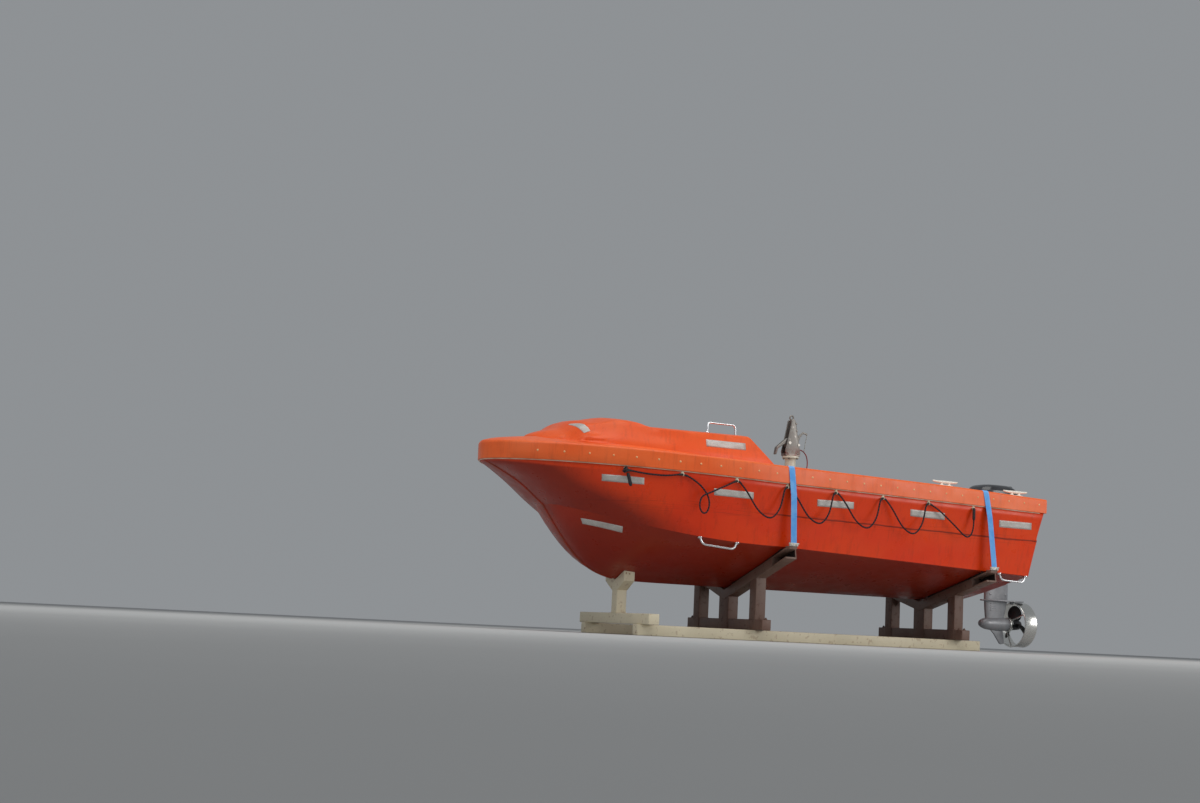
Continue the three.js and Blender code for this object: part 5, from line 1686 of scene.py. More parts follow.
build(post_parts, "lifting_post_tube", 40, post_paint, replaced=("lifting_post",))


def hex_bolt(place, axis, r=0.009, tall=0.007, shank=0.0):
    """A bolt head or nut with its washer, standing on a face."""
    head = started(
        "head", bpy.ops.mesh.primitive_cylinder_add, vertices=6, radius=r, depth=tall,
        location=(0, 0, tall / 2 + 0.002))
    bpy.ops.object.transform_apply(location=True)
    pick(head, "EDGE", lambda c, e: c.z > tall + 0.0015)
    bevel(r * 0.12, 2)
    leave_edit()
    head.data.transform(facing(place, axis))
    washer = lathe(
        "washer", [(0, 0), (r * 1.35, 0), (r * 1.35, 0.0016), (r * 1.2, 0.0022), (0, 0.0022)], place, axis,
        18)
    parts = [head, washer]
    if shank:
        parts.append(lathe(
            "shank", [(0, 0), (r * 0.55, 0), (r * 0.55, shank - 0.001), (r * 0.45, shank), (0, shank)],
            place, axis, 12))
    return joined(parts, "bolt")


zinc = mottled(
    "zinc_bolts", (70, 6, 0.7), (0.42, 0.66), ((176, 176, 172), (120, 112, 100)), (0.35, 0.6),
    Metallic=0.85)
post_bolts = []
for k in range(8):
    a = math.pi / 4 * (k + 0.5)
    post_bolts.append(hex_bolt(
        Vector((HOOK.x + 0.112 * math.cos(a), 0.112 * math.sin(a), SOLE_Z + POST.plate)), (0, 0, 1), 0.009,
        0.007, 0.014))
for k in range(4):
    a = math.pi / 4 * (2 * k + 1)
    post_bolts.append(hex_bolt(
        Vector((HOOK.x + 0.055 * math.cos(a), 0.055 * math.sin(a), HOOK.base - 0.016)), (0, 0, -1), 0.007,
        0.006, 0.012))
build(post_bolts, "post_bolts", 35, zinc)

# Release hook: two forged side plates on a base, with the fixed bill between them, an eye on
# top, the swinging tongue forward and the trip lever aft. Dark zinc over black, rubbed bright.
HOOK_PLATE = (
    (-0.072, 0.028), (-0.064, 0.0), (0.064, 0.0), (0.072, 0.036), (0.048, 0.132), (0.026, 0.236),
    (0.018, 0.284), (0.0, 0.298), (-0.018, 0.284), (-0.028, 0.236), (-0.052, 0.132))
HOOK_BILL = (
    (-0.032, 0.158), (-0.042, 0.202), (-0.024, 0.28), (0.008, 0.292), (-0.01, 0.236), (-0.012, 0.168))
TONGUE = (
    (0.018, 0.066), (0.05, 0.066), (0.062, 0.096), (0.128, 0.052), (0.142, 0.002), (0.152, 0.006),
    (0.142, 0.062), (0.07, 0.124), (0.046, 0.142), (0.024, 0.14), (0.01, 0.1))
LEVER = (
    (-0.06, 0.084), (-0.042, 0.074), (-0.066, 0.168), (-0.112, 0.206), (-0.15, 0.196), (-0.152, 0.184),
    (-0.112, 0.19), (-0.084, 0.158))
hook_point = lambda x, z, y=0.0: Vector((HOOK.x + x, y, HOOK.base + z))


def hook_plate(name, outline, y0, y1, edge):
    return outline_piece(name, [(HOOK.x + x, HOOK.base + z) for x, z in outline], y0, y1, edge)


hook_steel, tree, shader = new_finish("dark_zinc_forging", Metallic=0.75)
rubbed = ramp(tree, noise(tree, 26, detail=7, rough=0.7), 0.52, 0.68)
edge_wear = ramp(tree, add_node(tree, "NewGeometry").outputs["Pointiness"], 0.5, 0.58)
bare = maths(tree, "MAXIMUM", rubbed, edge_wear)
forged_grey = blend(tree, bare, srgb(104, 101, 98), srgb(168, 164, 158))
low_down = ramp(tree, parted(tree, coordinates(tree))["Z"], HOOK.base + 0.085, HOOK.base + 0.015, 0, 0.85)
rust = product(tree, low_down, ramp(tree, noise(tree, 22, detail=6, rough=0.7), 0.4, 0.58))
feed(tree, shader, blend(tree, rust, forged_grey, srgb(112, 62, 52)), ramp(tree, bare, 0, 1, 0.55, 0.38))
bump(tree, shader, noise(tree, 90, detail=5), 0.0007)
forged = [
    hook_plate("plate", HOOK_PLATE, -0.034, -0.0245, 0.0028),
    hook_plate("plate", HOOK_PLATE, 0.0245, 0.034, 0.0028),
    hook_plate("bill", HOOK_BILL, -0.03, 0.03, 0.006),
    block_piece(
        "foot", (HOOK.x - 0.068, -0.0345, HOOK.base), (HOOK.x + 0.068, 0.0345, HOOK.base + 0.02), 0.004),
    ring_piece("eye", hook_point(0, 0.31), (0, 1, 0), 0.0165, 0.0062, 36, 14),
    lathe(
        "pivot",
        [
            (0, -0.04), (0.013, -0.04), (0.014, -0.036), (0.014, -0.034), (HOOK.pin, -0.034),
            (HOOK.pin, 0.034), (0.014, 0.034), (0.014, 0.036), (0.013, 0.04), (0, 0.04)],
        hook_point(*HOOK.pivot), (0, 1, 0), 24),
    lathe(
        "lever_pin",
        [
            (0, -0.039), (0.01, -0.039), (0.01, -0.034), (0.007, -0.034), (0.007, 0.034), (0.01, 0.034),
            (0.01, 0.039), (0, 0.039)], hook_point(*HOOK.lever), (0, 1, 0), 20)]
for x, z in ((-0.03, 0.205), (-0.024, 0.262), (0.045, 0.022), (-0.045, 0.022)):
    forged.append(hex_bolt(hook_point(x, z, 0.0335), (0, 1, 0), 0.0065, 0.004))
    forged.append(hex_bolt(hook_point(x, z, -0.0335), (0, -1, 0), 0.0065, 0.004))
build(forged, "release_hook", 38, hook_steel, replaced=("hook_body",))
fix(
    hook_plate("hook_tongue_arm", TONGUE, -0.0178, 0.0178, 0.0045), hook_steel, "tongue",
    ("hook_tongue",))
trip = [
    hook_plate("trip", LEVER, -0.006, 0.006, 0.002),
    lathe(
        "boss", [(0, -0.022), (0.013, -0.022), (0.013, 0.022), (0, 0.022)], hook_point(*HOOK.lever),
        (0, 1, 0), 24)]
build(trip, "trip_lever", 38, hook_steel, replaced=("release_lever",))

# Release cables: a thin steel link hangs from the trip lever, and a stiff red-sleeved push-pull
# cable arches out of the hook's foot and down to a clip on the post.
CABLE_D = 0.009
CABLE_ROUTE = (
    (-0.04, 0.046), (-0.08, 0.058), (-0.118, 0.048), (-0.148, 0.018), (-0.162, -0.028), (-0.16, -0.08),
    (-0.142, -0.132), (-0.112, -0.174), (-0.08, -0.206), (-0.06, -0.232))
LINK_ROUTE = ((-0.147, 0.19), (-0.15, 0.168), (-0.138, 0.12), (-0.128, 0.046))
link = bent_line([hook_point(x, z) for x, z in LINK_ROUTE], 0.01)
link_parts = [
    tube("link", link, 0.0028, 10),
    ring_piece("link_eye", hook_point(-0.147, 0.188), (0, 1, 0), 0.006, 0.0022)]
build(link_parts, "trip_link", 45, zinc)

red_sleeve = mottled("red_cable_sleeve", (30,), (0.4, 0.7), ((150, 26, 34), (96, 22, 28)), Roughness=0.45)
cable_line = smooth_line([hook_point(x, z) for x, z in CABLE_ROUTE], 0.006)
cable = tube("release_cable_red", cable_line, CABLE_D / 2, 12)
fix(cable, red_sleeve)
clip = [
    lathe(
        "band",
        [
            (0.0462, -0.008), (0.0475, -0.01), (0.0475, 0.01), (0.0462, 0.008), (0.0445, 0.008),
            (0.0445, -0.008), (0.0462, -0.008)], (HOOK.x, 0, HOOK.base - 0.216), (0, 0, 1), 40),
    block_piece(
        "clamp", (HOOK.x - 0.066, -0.02, HOOK.base - 0.246), (HOOK.x - 0.043, 0.02, HOOK.base - 0.206),
        0.004)]
build(clip, "cable_clip", 40, steel_finish)

# Lashing straps: 50 mm woven polyester webbing, hooked over the side decks and drawn down to the
# cradle's arm tips. The weave has fine ribs across it and patches faded by the sun.
STRAP = SimpleNamespace(width=0.05, thick=0.003, inner=0.8, foot=0.892, plumb=0.222)
FRAME_X = {"fore": 0.115, "aft": -1.762}
STRAP_TOP_X = {"fore": 0.186, "aft": -1.632}


def tip_z(x):
    return level_at(CHINE, x)[1] + 0.026


def strap_route(name):
    """(y, z) of a strap's mid line from the side deck down to the cradle, and its lean."""
    edge = STRAP_TOP_X[name] + STRAP.width / 2
    top = deck_z(edge) + JOINT_GAP
    out = level_at(JOINT, edge)[0] + STRAKE_PROUD + 0.003
    foot = tip_z(FRAME_X[name])
    half = STRAP.thick / 2
    corner = [
        Vector((
            0, out - STRAKE_EDGE - 0.004 + 0.0205 * math.sin(a),
            top + half - 0.0205 + 0.0205 * math.cos(a))) for a in (0.15, 0.55, 0.95, 1.35)]
    line = [
        Vector((0, STRAP.inner + 0.001, top + half)), Vector((0, out - 0.05, top + half)), *corner,
        Vector((0, out + half, top - 0.06)), Vector((0, out + half, top - STRAP.plumb + 0.02)),
        Vector((0, out + half - 0.002, top - STRAP.plumb - 0.012)),
        Vector((0, STRAP.foot + half, foot + 0.001))]
    lean = (STRAP_TOP_X[name] - FRAME_X[name]) / (top - foot)
    return line, lean, top


webbing, tree, shader = new_finish(
    "blue_webbing", Sheen_Weight=0.25, Specular_IOR_Level=0.25, Roughness=0.75)
weft = add_node(
    tree, "TexWave", {"Vector": coordinates(tree, source="UV"), "Scale": 60.0, "Distortion": 0.4},
    bands_direction="Y").outputs["Fac"]
warp = add_node(
    tree, "TexWave", {"Vector": coordinates(tree, source="UV"), "Scale": 4.0, "Distortion": 0.2},
    bands_direction="X").outputs["Fac"]
faded = ramp(tree, noise(tree, 14, detail=6), 0.4, 0.7)
cloth_blue = blend(tree, faded, srgb(96, 172, 246), srgb(132, 194, 250))
ribbed = blend(tree, product(tree, weft, ramp(tree, warp, 0.5, 1.0)), cloth_blue, srgb(64, 138, 224))
feed(tree, shader, ribbed)
bump(tree, shader, product(tree, weft, ramp(tree, warp, 0.6, 1.0)), 0.0005)

for name in FRAME_X:
    route, lean, strap_top = strap_route(name)
    path = smooth_line(route, 0.01)

    def web_place(column, row, path=path, lean=lean, top=strap_top, name=name):
        p = path[row]
        ahead, behind = path[min(row + 1, len(path) - 1)], path[max(row - 1, 0)]
        along = (ahead - behind).normalized()
        out = Vector((0, -along.z, along.y))
        x = STRAP_TOP_X[name] + lean * (p.z - top) + STRAP.width * (0.5 - column / 10)
        crown = 0.0004 * math.sin(math.pi * column / 10)
        return Vector((x, p.y, p.z)) + out * (crown - 0.0002)

    web = placed_grid("strap_" + name, 11, len(path), web_place)
    give_wall(web, STRAP.thick - 0.0006, 0)
    close_and_smooth(web, 50)
    both_sides(web, "lashing_strap_" + name, webbing, "strap_" + name)

# Strap hardware: a flat plate on the side deck at the strap's inner end, and at its foot a
# galvanised end plate with a bar and two bolts.
galvanising = mottled(
    "pale_galvanising", (55, 5, 0.65), (0.4, 0.68), ((216, 216, 210), (166, 160, 148)), (0.38, 0.62),
    Metallic=0.3)
for name in FRAME_X:
    route, lean, strap_top = strap_route(name)
    foot_z, foot_x = tip_z(FRAME_X[name]), FRAME_X[name]
    top_x = STRAP_TOP_X[name]
    ends = [Vector((foot_x + off, STRAP.foot + 0.004, foot_z + 0.004)) for off in (-0.042, 0.042)]
    metal = [
        block_piece(
            "deck_plate", (top_x - 0.033, STRAP.inner - 0.012, strap_top),
            (top_x + 0.033, STRAP.inner + 0.022, strap_top + 0.0055), 0.002, 2),
        block_piece(
            "end_plate", (foot_x - 0.037, STRAP.foot - 0.008, foot_z - 0.016),
            (foot_x + 0.037, STRAP.foot + 0.008, foot_z + 0.01), 0.003, 3),
        tube("end_bar", ends, 0.006, 14)]
    for off in (-0.022, 0.022):
        metal.append(hex_bolt(
            Vector((foot_x + off, STRAP.foot + 0.008, foot_z - 0.006)), (0, 1, 0), 0.006, 0.004))
    both_sides(
        close_and_smooth(joined(metal, "hardware"), 38, 1e-6), "strap_hardware_" + name, galvanising)

# Cradle base: two rectangular hollow steel rails with a tie between them, capped, welded and
# painted cream. Every edge has the tube's own corner radius.
BASE = SimpleNamespace(x0=-1.99, x1=1.16, y=0.42, side=0.08, tie=0.04)


def weld_bead(name, points, r=0.004):
    """A rippled fillet weld along a line."""
    line = smooth_line(points, 0.005)
    sizes = [r * (1 + 0.22 * math.sin(2.1 * k)) for k in range(len(line))]
    return tube(name, line, sizes, 8)


def steel_paint(name, colour, dust, under, chips=0.66):
    """Brushed enamel on rolled steel: dusty in streaks, chipped and rusting along the edges."""
    finish, tree, shader = new_finish(name, Specular_IOR_Level=0.4)
    streak = ramp(tree, noise(tree, 3.5, (1, 1, 0.35), detail=6, rough=0.6), 0.4, 0.72)
    painted = blend(tree, streak, colour, dust)
    flake = ramp(tree, noise(tree, 16, detail=8, rough=0.7), chips, chips + 0.02)
    rim = ramp(tree, add_node(tree, "NewGeometry").outputs["Pointiness"], 0.52, 0.6)
    spots = ramp(tree, noise(tree, 34, detail=3, rough=0.5), 0.6, 0.68)
    bare = maths(tree, "MAXIMUM", flake, product(tree, rim, spots))
    feed(tree, shader, blend(tree, bare, painted, under), ramp(tree, bare, 0, 1, 0.48, 0.82))
    bump(tree, shader, blend(tree, bare, noise(tree, 45, detail=2), srgb(255, 255, 255)), 0.00015)
    return finish


cream_enamel = steel_paint(
    "cream_cradle_paint", srgb(226, 216, 188), srgb(212, 202, 174), srgb(150, 116, 84), 0.78)
for side, sign in (("port", 1), ("starboard", -1)):
    y = sign * BASE.y
    rail = [block_piece(
        "rail", (BASE.x0 + 0.001, y - 0.0395, 0.0002), (BASE.x1 - 0.001, y + 0.0395, 0.08), 0.006, 3)]
    for x, turn in ((BASE.x0 + 0.001, -1), (BASE.x1 - 0.001, 1)):
        rail.append(block_piece(
            "cap", (x - 0.001, y - 0.034, 0.006), (x + 0.001, y + 0.034, 0.074), 0.0006, 2))
    fix(joined(rail, "cradle_rail_" + side), cream_enamel, replaced=("base_rail_" + side,))
tie_y = BASE.y - BASE.side / 2
tie = [block_piece("tie", (-BASE.tie, -tie_y + 0.0005, 0.0002), (BASE.tie, tie_y - 0.0005, 0.08), 0.006, 3)]
for sign in (-1, 1):
    y = sign * (tie_y - 0.002)
    for x in (-BASE.tie + 0.001, BASE.tie - 0.001):
        tie.append(weld_bead(
            "weld", [Vector((x, y, 0.008)), Vector((x, y, 0.04)), Vector((x, y, 0.072))], 0.003))
    tie.append(weld_bead(
        "weld", [Vector((-0.034, y, 0.078)), Vector((0, y, 0.078)), Vector((0.034, y, 0.078))], 0.003))
build(tie, "cradle_tie", 40, cream_enamel, replaced=("base_tie",))

# Cradle frames: V arms of folded steel channel, open towards the bow at the tips, on posts and a
# cross beam. Brown primer under old enamel, welded at every joint and bolted to the base rails.
ARM = SimpleNamespace(half=0.048, deep=0.078, tip=0.852, lift=0.018, wall=0.01, pocket=0.17)
CROSS = SimpleNamespace(half=0.56, low=BASE.side + 0.0004, high=BASE.side + 0.0804, post=0.045)
brown_enamel = steel_paint(
    "brown_cradle_paint", srgb(112, 84, 72), srgb(130, 108, 96), srgb(84, 48, 32), 0.68)
# Near-black paint for a sheet inside each channel: painted shade on its web.
channel_shade_paint = steel_paint("painted_channel_shade", srgb(26, 20, 18), srgb(40, 32, 28), srgb(34, 20, 14), 0.7)


def arm_rule(x):
    """Height of an arm's top face at half breadth y, for the frame at x."""
    half, chine_z = level_at(CHINE, x)
    keel_z = level_at(LEVELS[0], x)[1]
    slope = (chine_z - keel_z) / half
    return lambda y: keel_z - ARM.lift + slope * y


def bottom_z(y, x):
    """Height of the hull's bottom at half breadth y."""
    rows = [level_at(level, x) for level in LEVELS[:4]]
    for a, b in zip(rows, rows[1:]):
        if y <= b[0]:
            return mix(a[1], b[1], max(0.0, y - a[0]) / (b[0] - a[0]))
    return rows[-1][1]


def beam(name, outline, x0, x1, edge=0.003):
    """A plate or bar cut to a (y, z) outline, from x0 to x1."""
    return cut_plate(name, [(x0, y, z) for y, z in outline], (x1 - x0, 0, 0), edge, 2)


for name, x in FRAME_X.items():
    top = arm_rule(x)
    low = lambda y: top(y) - ARM.deep
    x0, x1 = x - ARM.half, x + ARM.half
    parts, inside = [], []
    for s in (-1, 1):
        tip, root = ARM.tip, ARM.tip - ARM.pocket
        end_low, w = tip + 0.014, ARM.wall
        bar = lambda kind, corners, *sizes: beam(kind, [(s * y, z) for y, z in corners], *sizes)
        parts.append(bar(
            "arm",
            [(-0.003, top(0) - 0.001), (root, top(root)), (root, low(root)), (-0.003, low(0) + 0.001)], x0,
            x1))
        parts.append(bar(
            "flange_top",
            [
                (root - 0.004, top(root - 0.004)), (tip, top(tip)), (tip + 0.0018, top(tip) - w),
                (root - 0.004, top(root) - w)], x0, x1, 0.002))
        parts.append(bar(
            "flange_low",
            [
                (root - 0.004, low(root) + w), (end_low - 0.002, low(tip) + w + 0.004), (end_low, low(tip)),
                (root - 0.004, low(root))], x0, x1, 0.002))
        parts.append(bar(
            "web",
            [
                (root - 0.004, top(root) - 0.004), (tip, top(tip) - 0.004),
                (end_low - 0.001, low(tip) + 0.004), (root - 0.004, low(root) + 0.004)], x0, x0 + w, 0.002))
        # A near-black sheet on the web's inner face, between the flanges: painted shade inside the channel.
        inside.append(bar(
            "shade",
            [
                (root, top(root) - w - 0.001), (tip - 0.004, top(tip) - w - 0.001),
                (tip + 0.006, low(tip) + w + 0.001), (root, low(root) + w + 0.001)], x0 + w, x0 + w + 0.002,
            0.0008))
        parts.append(block_piece(
            "bracket", (x - 0.034, min(s * (tip - 0.02), s * (STRAP.foot - 0.001)), top(tip) - 0.008),
            (x + 0.034, max(s * (tip - 0.02), s * (STRAP.foot - 0.001)), tip_z(x) - 0.014), 0.003, 2))
        y = s * BASE.y
        parts.append(block_piece(
            "post", (x - CROSS.post, y - CROSS.post, CROSS.low),
            (x + CROSS.post, y + CROSS.post, top(BASE.y) - 0.03), 0.005, 3))
        rim = [
            Vector((x + u * CROSS.post, y + v * CROSS.post, CROSS.high + 0.001))
            for u, v in (
                (-0.9, -1), (0.9, -1), (1, -0.9), (1, 0.9), (0.9, 1), (-0.9, 1), (-1, 0.9), (-1, -0.9),
                (-0.9, -1))]
        parts.append(weld_bead("weld", rim, 0.0032))
        for u in (-0.026, 0.026):
            parts.append(hex_bolt(
                Vector((x + u, s * (BASE.y + 0.085), CROSS.high)), (0, 0, 1), 0.01, 0.008, 0.016))
        parts.append(bar(
            "gusset", [(0.3, low(0.3) + 0.006), (0.376, low(0.376) + 0.006), (0.376, low(0.376) - 0.07)],
            x - 0.004, x + 0.004, 0.001))
    parts.append(block_piece(
        "cross", (x - 0.04, -CROSS.half, CROSS.low), (x + 0.04, CROSS.half, CROSS.high), 0.006, 3))
    parts.append(block_piece(
        "saddle", (x - CROSS.post, -0.07, CROSS.low), (x + CROSS.post, 0.07, top(0) - 0.022), 0.005, 3))
    build(
        parts, "cradle_frame_steel_" + name, 38, brown_enamel,
        replaced=("cradle_frame_" + name,))
    fix(joined(inside, "channel_shade_sheet_" + name), channel_shade_paint)

# Rubber pads: moulded strips with a rounded edge and shallow ribs, glued along the arms so that
# the laminate never touches steel.
PAD = SimpleNamespace(start=0.11, end=0.79, half=0.044)
pad_rubber = mottled(
    "pad_rubber", (16, 6), (0.4, 0.7), ((22, 21, 21), (50, 47, 45)), (30, 0.62, 0.85), (300, 2, 0.0003),
    Specular_IOR_Level=0.3)
for name, x in FRAME_X.items():
    top = arm_rule(x)

    def pad_place(column, row, x=x, top=top):
        y = mix(PAD.start, PAD.end, column / 34)
        across, up = (
            (-1, 0.0), (-1, 0.7), (-0.94, 1.0), (-0.5, 1.0), (0, 1.0), (0.5, 1.0), (0.94, 1.0), (1, 0.7),
            (1, 0.0), (0, 0.0), (-1, 0.0))[row]
        at = x + across * (PAD.half - 0.0008)
        low = top(y) + 0.0006
        high = max(low + 0.003, min(bottom_z(y, at) - 0.001, low + 0.04))
        return Vector((at, y, mix(low, high, up)))

    pad = placed_grid("pad", 35, 11, pad_place)
    close_and_smooth(capped(pad), 40)
    both_sides(pad, "rubber_pad_" + name, pad_rubber, "cradle_pad_" + name)

# Bow rest: a cream steel post with a spreading yoke on a cross beam, under the forefoot. The
# yoke's top is cut to the hull's bottom.
REST = SimpleNamespace(x=1.08, half=0.045, yoke=0.48)
rest_parts = [
    block_piece(
        "beam", (REST.x - REST.half, -CROSS.half, CROSS.low),
        (REST.x + REST.half, CROSS.half, BASE.side + 0.08), 0.006, 3),
    block_piece(
        "post", (REST.x - REST.half + 0.003, -REST.half + 0.003, CROSS.low + 0.004),
        (REST.x + REST.half - 0.003, REST.half - 0.003, 0.36), 0.006, 3)]
yoke_top = [(0.15 - 0.01 * i, REST.yoke) for i in range(31)]
yoke = beam(
    "yoke", [*yoke_top, (-0.15, 0.4), (-0.04, 0.33), (0.04, 0.33), (0.15, 0.4)], REST.x - REST.half,
    REST.x + REST.half, 0.002)
for vertex in yoke.data.vertices:
    vertex.co.z = min(vertex.co.z, bottom_z(abs(vertex.co.y), vertex.co.x) - 0.0012)
rest_parts.append(yoke)
for u, v in ((-1, 0), (1, 0), (0, -1), (0, 1)):
    a = Vector((REST.x + (u or -0.9) * REST.half, (v or -0.9) * REST.half, BASE.side + 0.081))
    b = Vector((REST.x + (u or 0.9) * REST.half, (v or 0.9) * REST.half, BASE.side + 0.081))
    rest_parts.append(weld_bead("weld", [a, (a + b) / 2, b], 0.0032))
build(rest_parts, "bow_rest_steel", 38, cream_enamel, replaced=("bow_rest",))

# Outboard motor bracket: a cast aluminium clamp over the transom's cut-out with two ears and
# four through bolts, and the swivel casting that turns on the tilt tube between the ears.
TILT = SimpleNamespace(x=-2.318, z=1.0)
STEER_X = -2.378
transom_x = lambda z: STERN_X + (JOINT[2] - z) * TRANSOM_RAKE
CLAMP_SIDE = (
    (NOTCH_WALL_X + 0.0004, 0.85), (NOTCH_WALL_X + 0.02, 0.85), (NOTCH_WALL_X + 0.02, 0.986),
    (-2.296, 0.986), (transom_x(0.74) - 0.04, 0.74), (transom_x(0.74) - 0.0006, 0.74),
    (transom_x(NOTCH_FLOOR) - 0.0006, NOTCH_FLOOR + 0.0006), (NOTCH_WALL_X + 0.0004, NOTCH_FLOOR + 0.0006))
EAR = ((-2.286, 0.96), (-2.352, 0.972), (-2.352, 1.03), (-2.29, 1.03))
motor_grey, tree, shader = new_finish(
    "motor_grey_enamel", Metallic=0.2, Coat_Weight=0.25, Coat_Roughness=0.2)
dull = ramp(tree, noise(tree, 8, detail=7, rough=0.66), 0.42, 0.7)
salt = ramp(tree, noise(tree, 48, detail=7, rough=0.76), 0.62, 0.68)
feed(
    tree, shader,
    blend(tree, salt, blend(tree, dull, srgb(150, 153, 157), srgb(124, 127, 131)), srgb(186, 186, 182)),
    ramp(tree, dull, 0, 1, 0.34, 0.55))
bump(tree, shader, noise(tree, 90, detail=3), 0.0002)
clamp_parts = [outline_piece("clamp", CLAMP_SIDE, -0.109, 0.109, 0.004)]
for side in (-1, 1):
    y0, y1 = sorted((side * 0.0785, side * 0.1035))
    clamp_parts.append(outline_piece("ear", EAR, y0, y1, 0.006))
    y0, y1 = sorted((side * 0.07, side * 0.094))
    clamp_parts.append(outline_piece(
        "rib",
        ((-2.294, 0.975), (-2.33, 0.968), (transom_x(0.76) - 0.052, 0.79), (transom_x(0.76) - 0.03, 0.77)),
        y0, y1, 0.004))
build(clamp_parts, "transom_clamp", 38, motor_grey, replaced=("motor_clamp",))
bracket_bolts = []
for y in (-0.085, 0.085):
    for z in (0.88, 0.94):
        bracket_bolts.append(hex_bolt(Vector((NOTCH_WALL_X + 0.02, y, z)), (1, 0, 0), 0.009, 0.007))
for side in (-1, 1):
    bracket_bolts.append(hex_bolt(Vector((TILT.x, side * 0.104, TILT.z)), (0, side, 0), 0.015, 0.01))
build(bracket_bolts, "bracket_bolts", 35, zinc)
swivel_parts = [
    lathe(
        "tilt_tube",
        [(0, -0.076), (0.0245, -0.076), (0.026, -0.074), (0.026, 0.074), (0.0245, 0.076), (0, 0.076)],
        (TILT.x, 0, TILT.z), (0, 1, 0), 32),
    lathe(
        "steer_tube",
        [
            (0, 0.7165), (0.029, 0.7165), (0.031, 0.7185), (0.031, 0.9), (0.0285, 0.906), (0.0285, 0.94),
            (0.031, 0.946), (0.031, 1.0535), (0.029, 1.0555), (0, 1.0555)], (STEER_X, 0, 0), (0, 0, 1), 32),
    block_piece("swivel_web", (STEER_X, -0.029, 0.967), (TILT.x, 0.029, 1.021), 0.005, 3),
    outline_piece(
        "swivel_rib", ((STEER_X + 0.02, 0.78), (TILT.x + 0.006, 0.99), (STEER_X + 0.02, 0.99)), -0.007,
        0.007, 0.002)]
build(swivel_parts, "swivel_casting", 40, motor_grey, "motor_tilt_bracket", ("motor_swivel",))

# Cowl and leg: a moulded black top half over a grey cast leg with its anti-ventilation plate,
# gear case and skeg. The cowl has a sealing groove, vent slats aft and a scoop on its top.
# Columns: z, x of the front, x of the back, half width.
COWL = (
    (1.092, -2.332, -2.598, 0.116), (1.104, -2.306, -2.628, 0.137), (1.126, -2.282, -2.65, 0.15),
    (1.15, -2.264, -2.66, 0.158), (1.18, -2.251, -2.667, 0.1635), (1.24, -2.2495, -2.6675, 0.1638),
    (1.312, -2.252, -2.664, 0.16), (1.348, -2.258, -2.653, 0.155), (1.372, -2.272, -2.636, 0.146),
    (1.388, -2.292, -2.608, 0.13), (1.3965, -2.316, -2.58, 0.11), (1.3995, -2.35, -2.54, 0.08))
LEG = (
    (1.0905, -2.35, -2.6, 0.092), (1.057, -2.331, -2.6, 0.092), (1.056, -2.418, -2.61, 0.066),
    (1.03, -2.418, -2.613, 0.063), (0.9, -2.42, -2.625, 0.052), (0.78, -2.418, -2.634, 0.046),
    (0.68, -2.416, -2.64, 0.042), (0.62, -2.396, -2.636, 0.038), (0.53, -2.394, -2.64, 0.033),
    (0.44, -2.394, -2.64, 0.03), (0.36, -2.4, -2.622, 0.0285), (0.27, -2.41, -2.596, 0.026))


def ringed(name, rows, power, count=40, ripple=None):
    """A closed form through oval rings (z, front, back, half width)."""
    def place(column, row):
        z, front, back, half = rows[row]
        a = 2 * math.pi * column / count
        c, s = math.cos(a), math.sin(a)
        mid, reach = (front + back) / 2, (front - back) / 2
        x = mid + reach * math.copysign(abs(c) ** (2 / power), c)
        y = half * math.copysign(abs(s) ** (2 / power), s)
        point = Vector((x, y, z))
        return ripple(point) if ripple else point
    return capped(placed_grid(name, count + 1, len(rows), place), 0.0001)


def cowl_ripple(p):
    """The sealing groove round the cowl's foot and a shallow crease along each side."""
    groove = 0.004 * math.exp(-(((p.z - 1.15) / 0.004) ** 2))
    mid = Vector((-2.458, 0, p.z))
    out = (p - mid).normalized()
    crease = 0.003 * math.exp(-(
        ((p.z - 1.3 - 0.1 * (p.x + 2.458)) / 0.012) ** 2)) * min(1.0, abs(p.y) / 0.1)
    return p - out * (groove + crease)


cowl_rows = []
for a, b in zip(COWL, COWL[1:]):
    count = max(1, round((b[0] - a[0]) / 0.005))
    cowl_rows += [tuple(mix(u, v, k / count) for u, v in zip(a, b)) for k in range(count)]
cowl_rows.append(COWL[-1])
cowl = ringed("cowl", cowl_rows, 3.2, 56, cowl_ripple)
close_and_smooth(cowl, 60)
cowl_black = mottled(
    "cowl_black_gloss", (6, 7, 0.66), (0.4, 0.72), ((30, 32, 36), (56, 58, 62)), (0.28, 0.5),
    (340, 2, 0.00008), Coat_Weight=0.7, Coat_Roughness=0.12)
cowl_bits = [cowl]
for i in range(5):
    z = 1.236 + 0.017 * i
    cowl_bits.append(block_piece("vent_slat", (-2.666, -0.07, z), (-2.652, 0.07, z + 0.008), 0.003, 2))
cowl_bits.append(block_piece("scoop", (-2.61, -0.08, 1.37), (-2.52, 0.08, 1.399), 0.01, 3))
build(cowl_bits, "engine_cowl", 50, cowl_black, "motor", ("motor_cowl",))

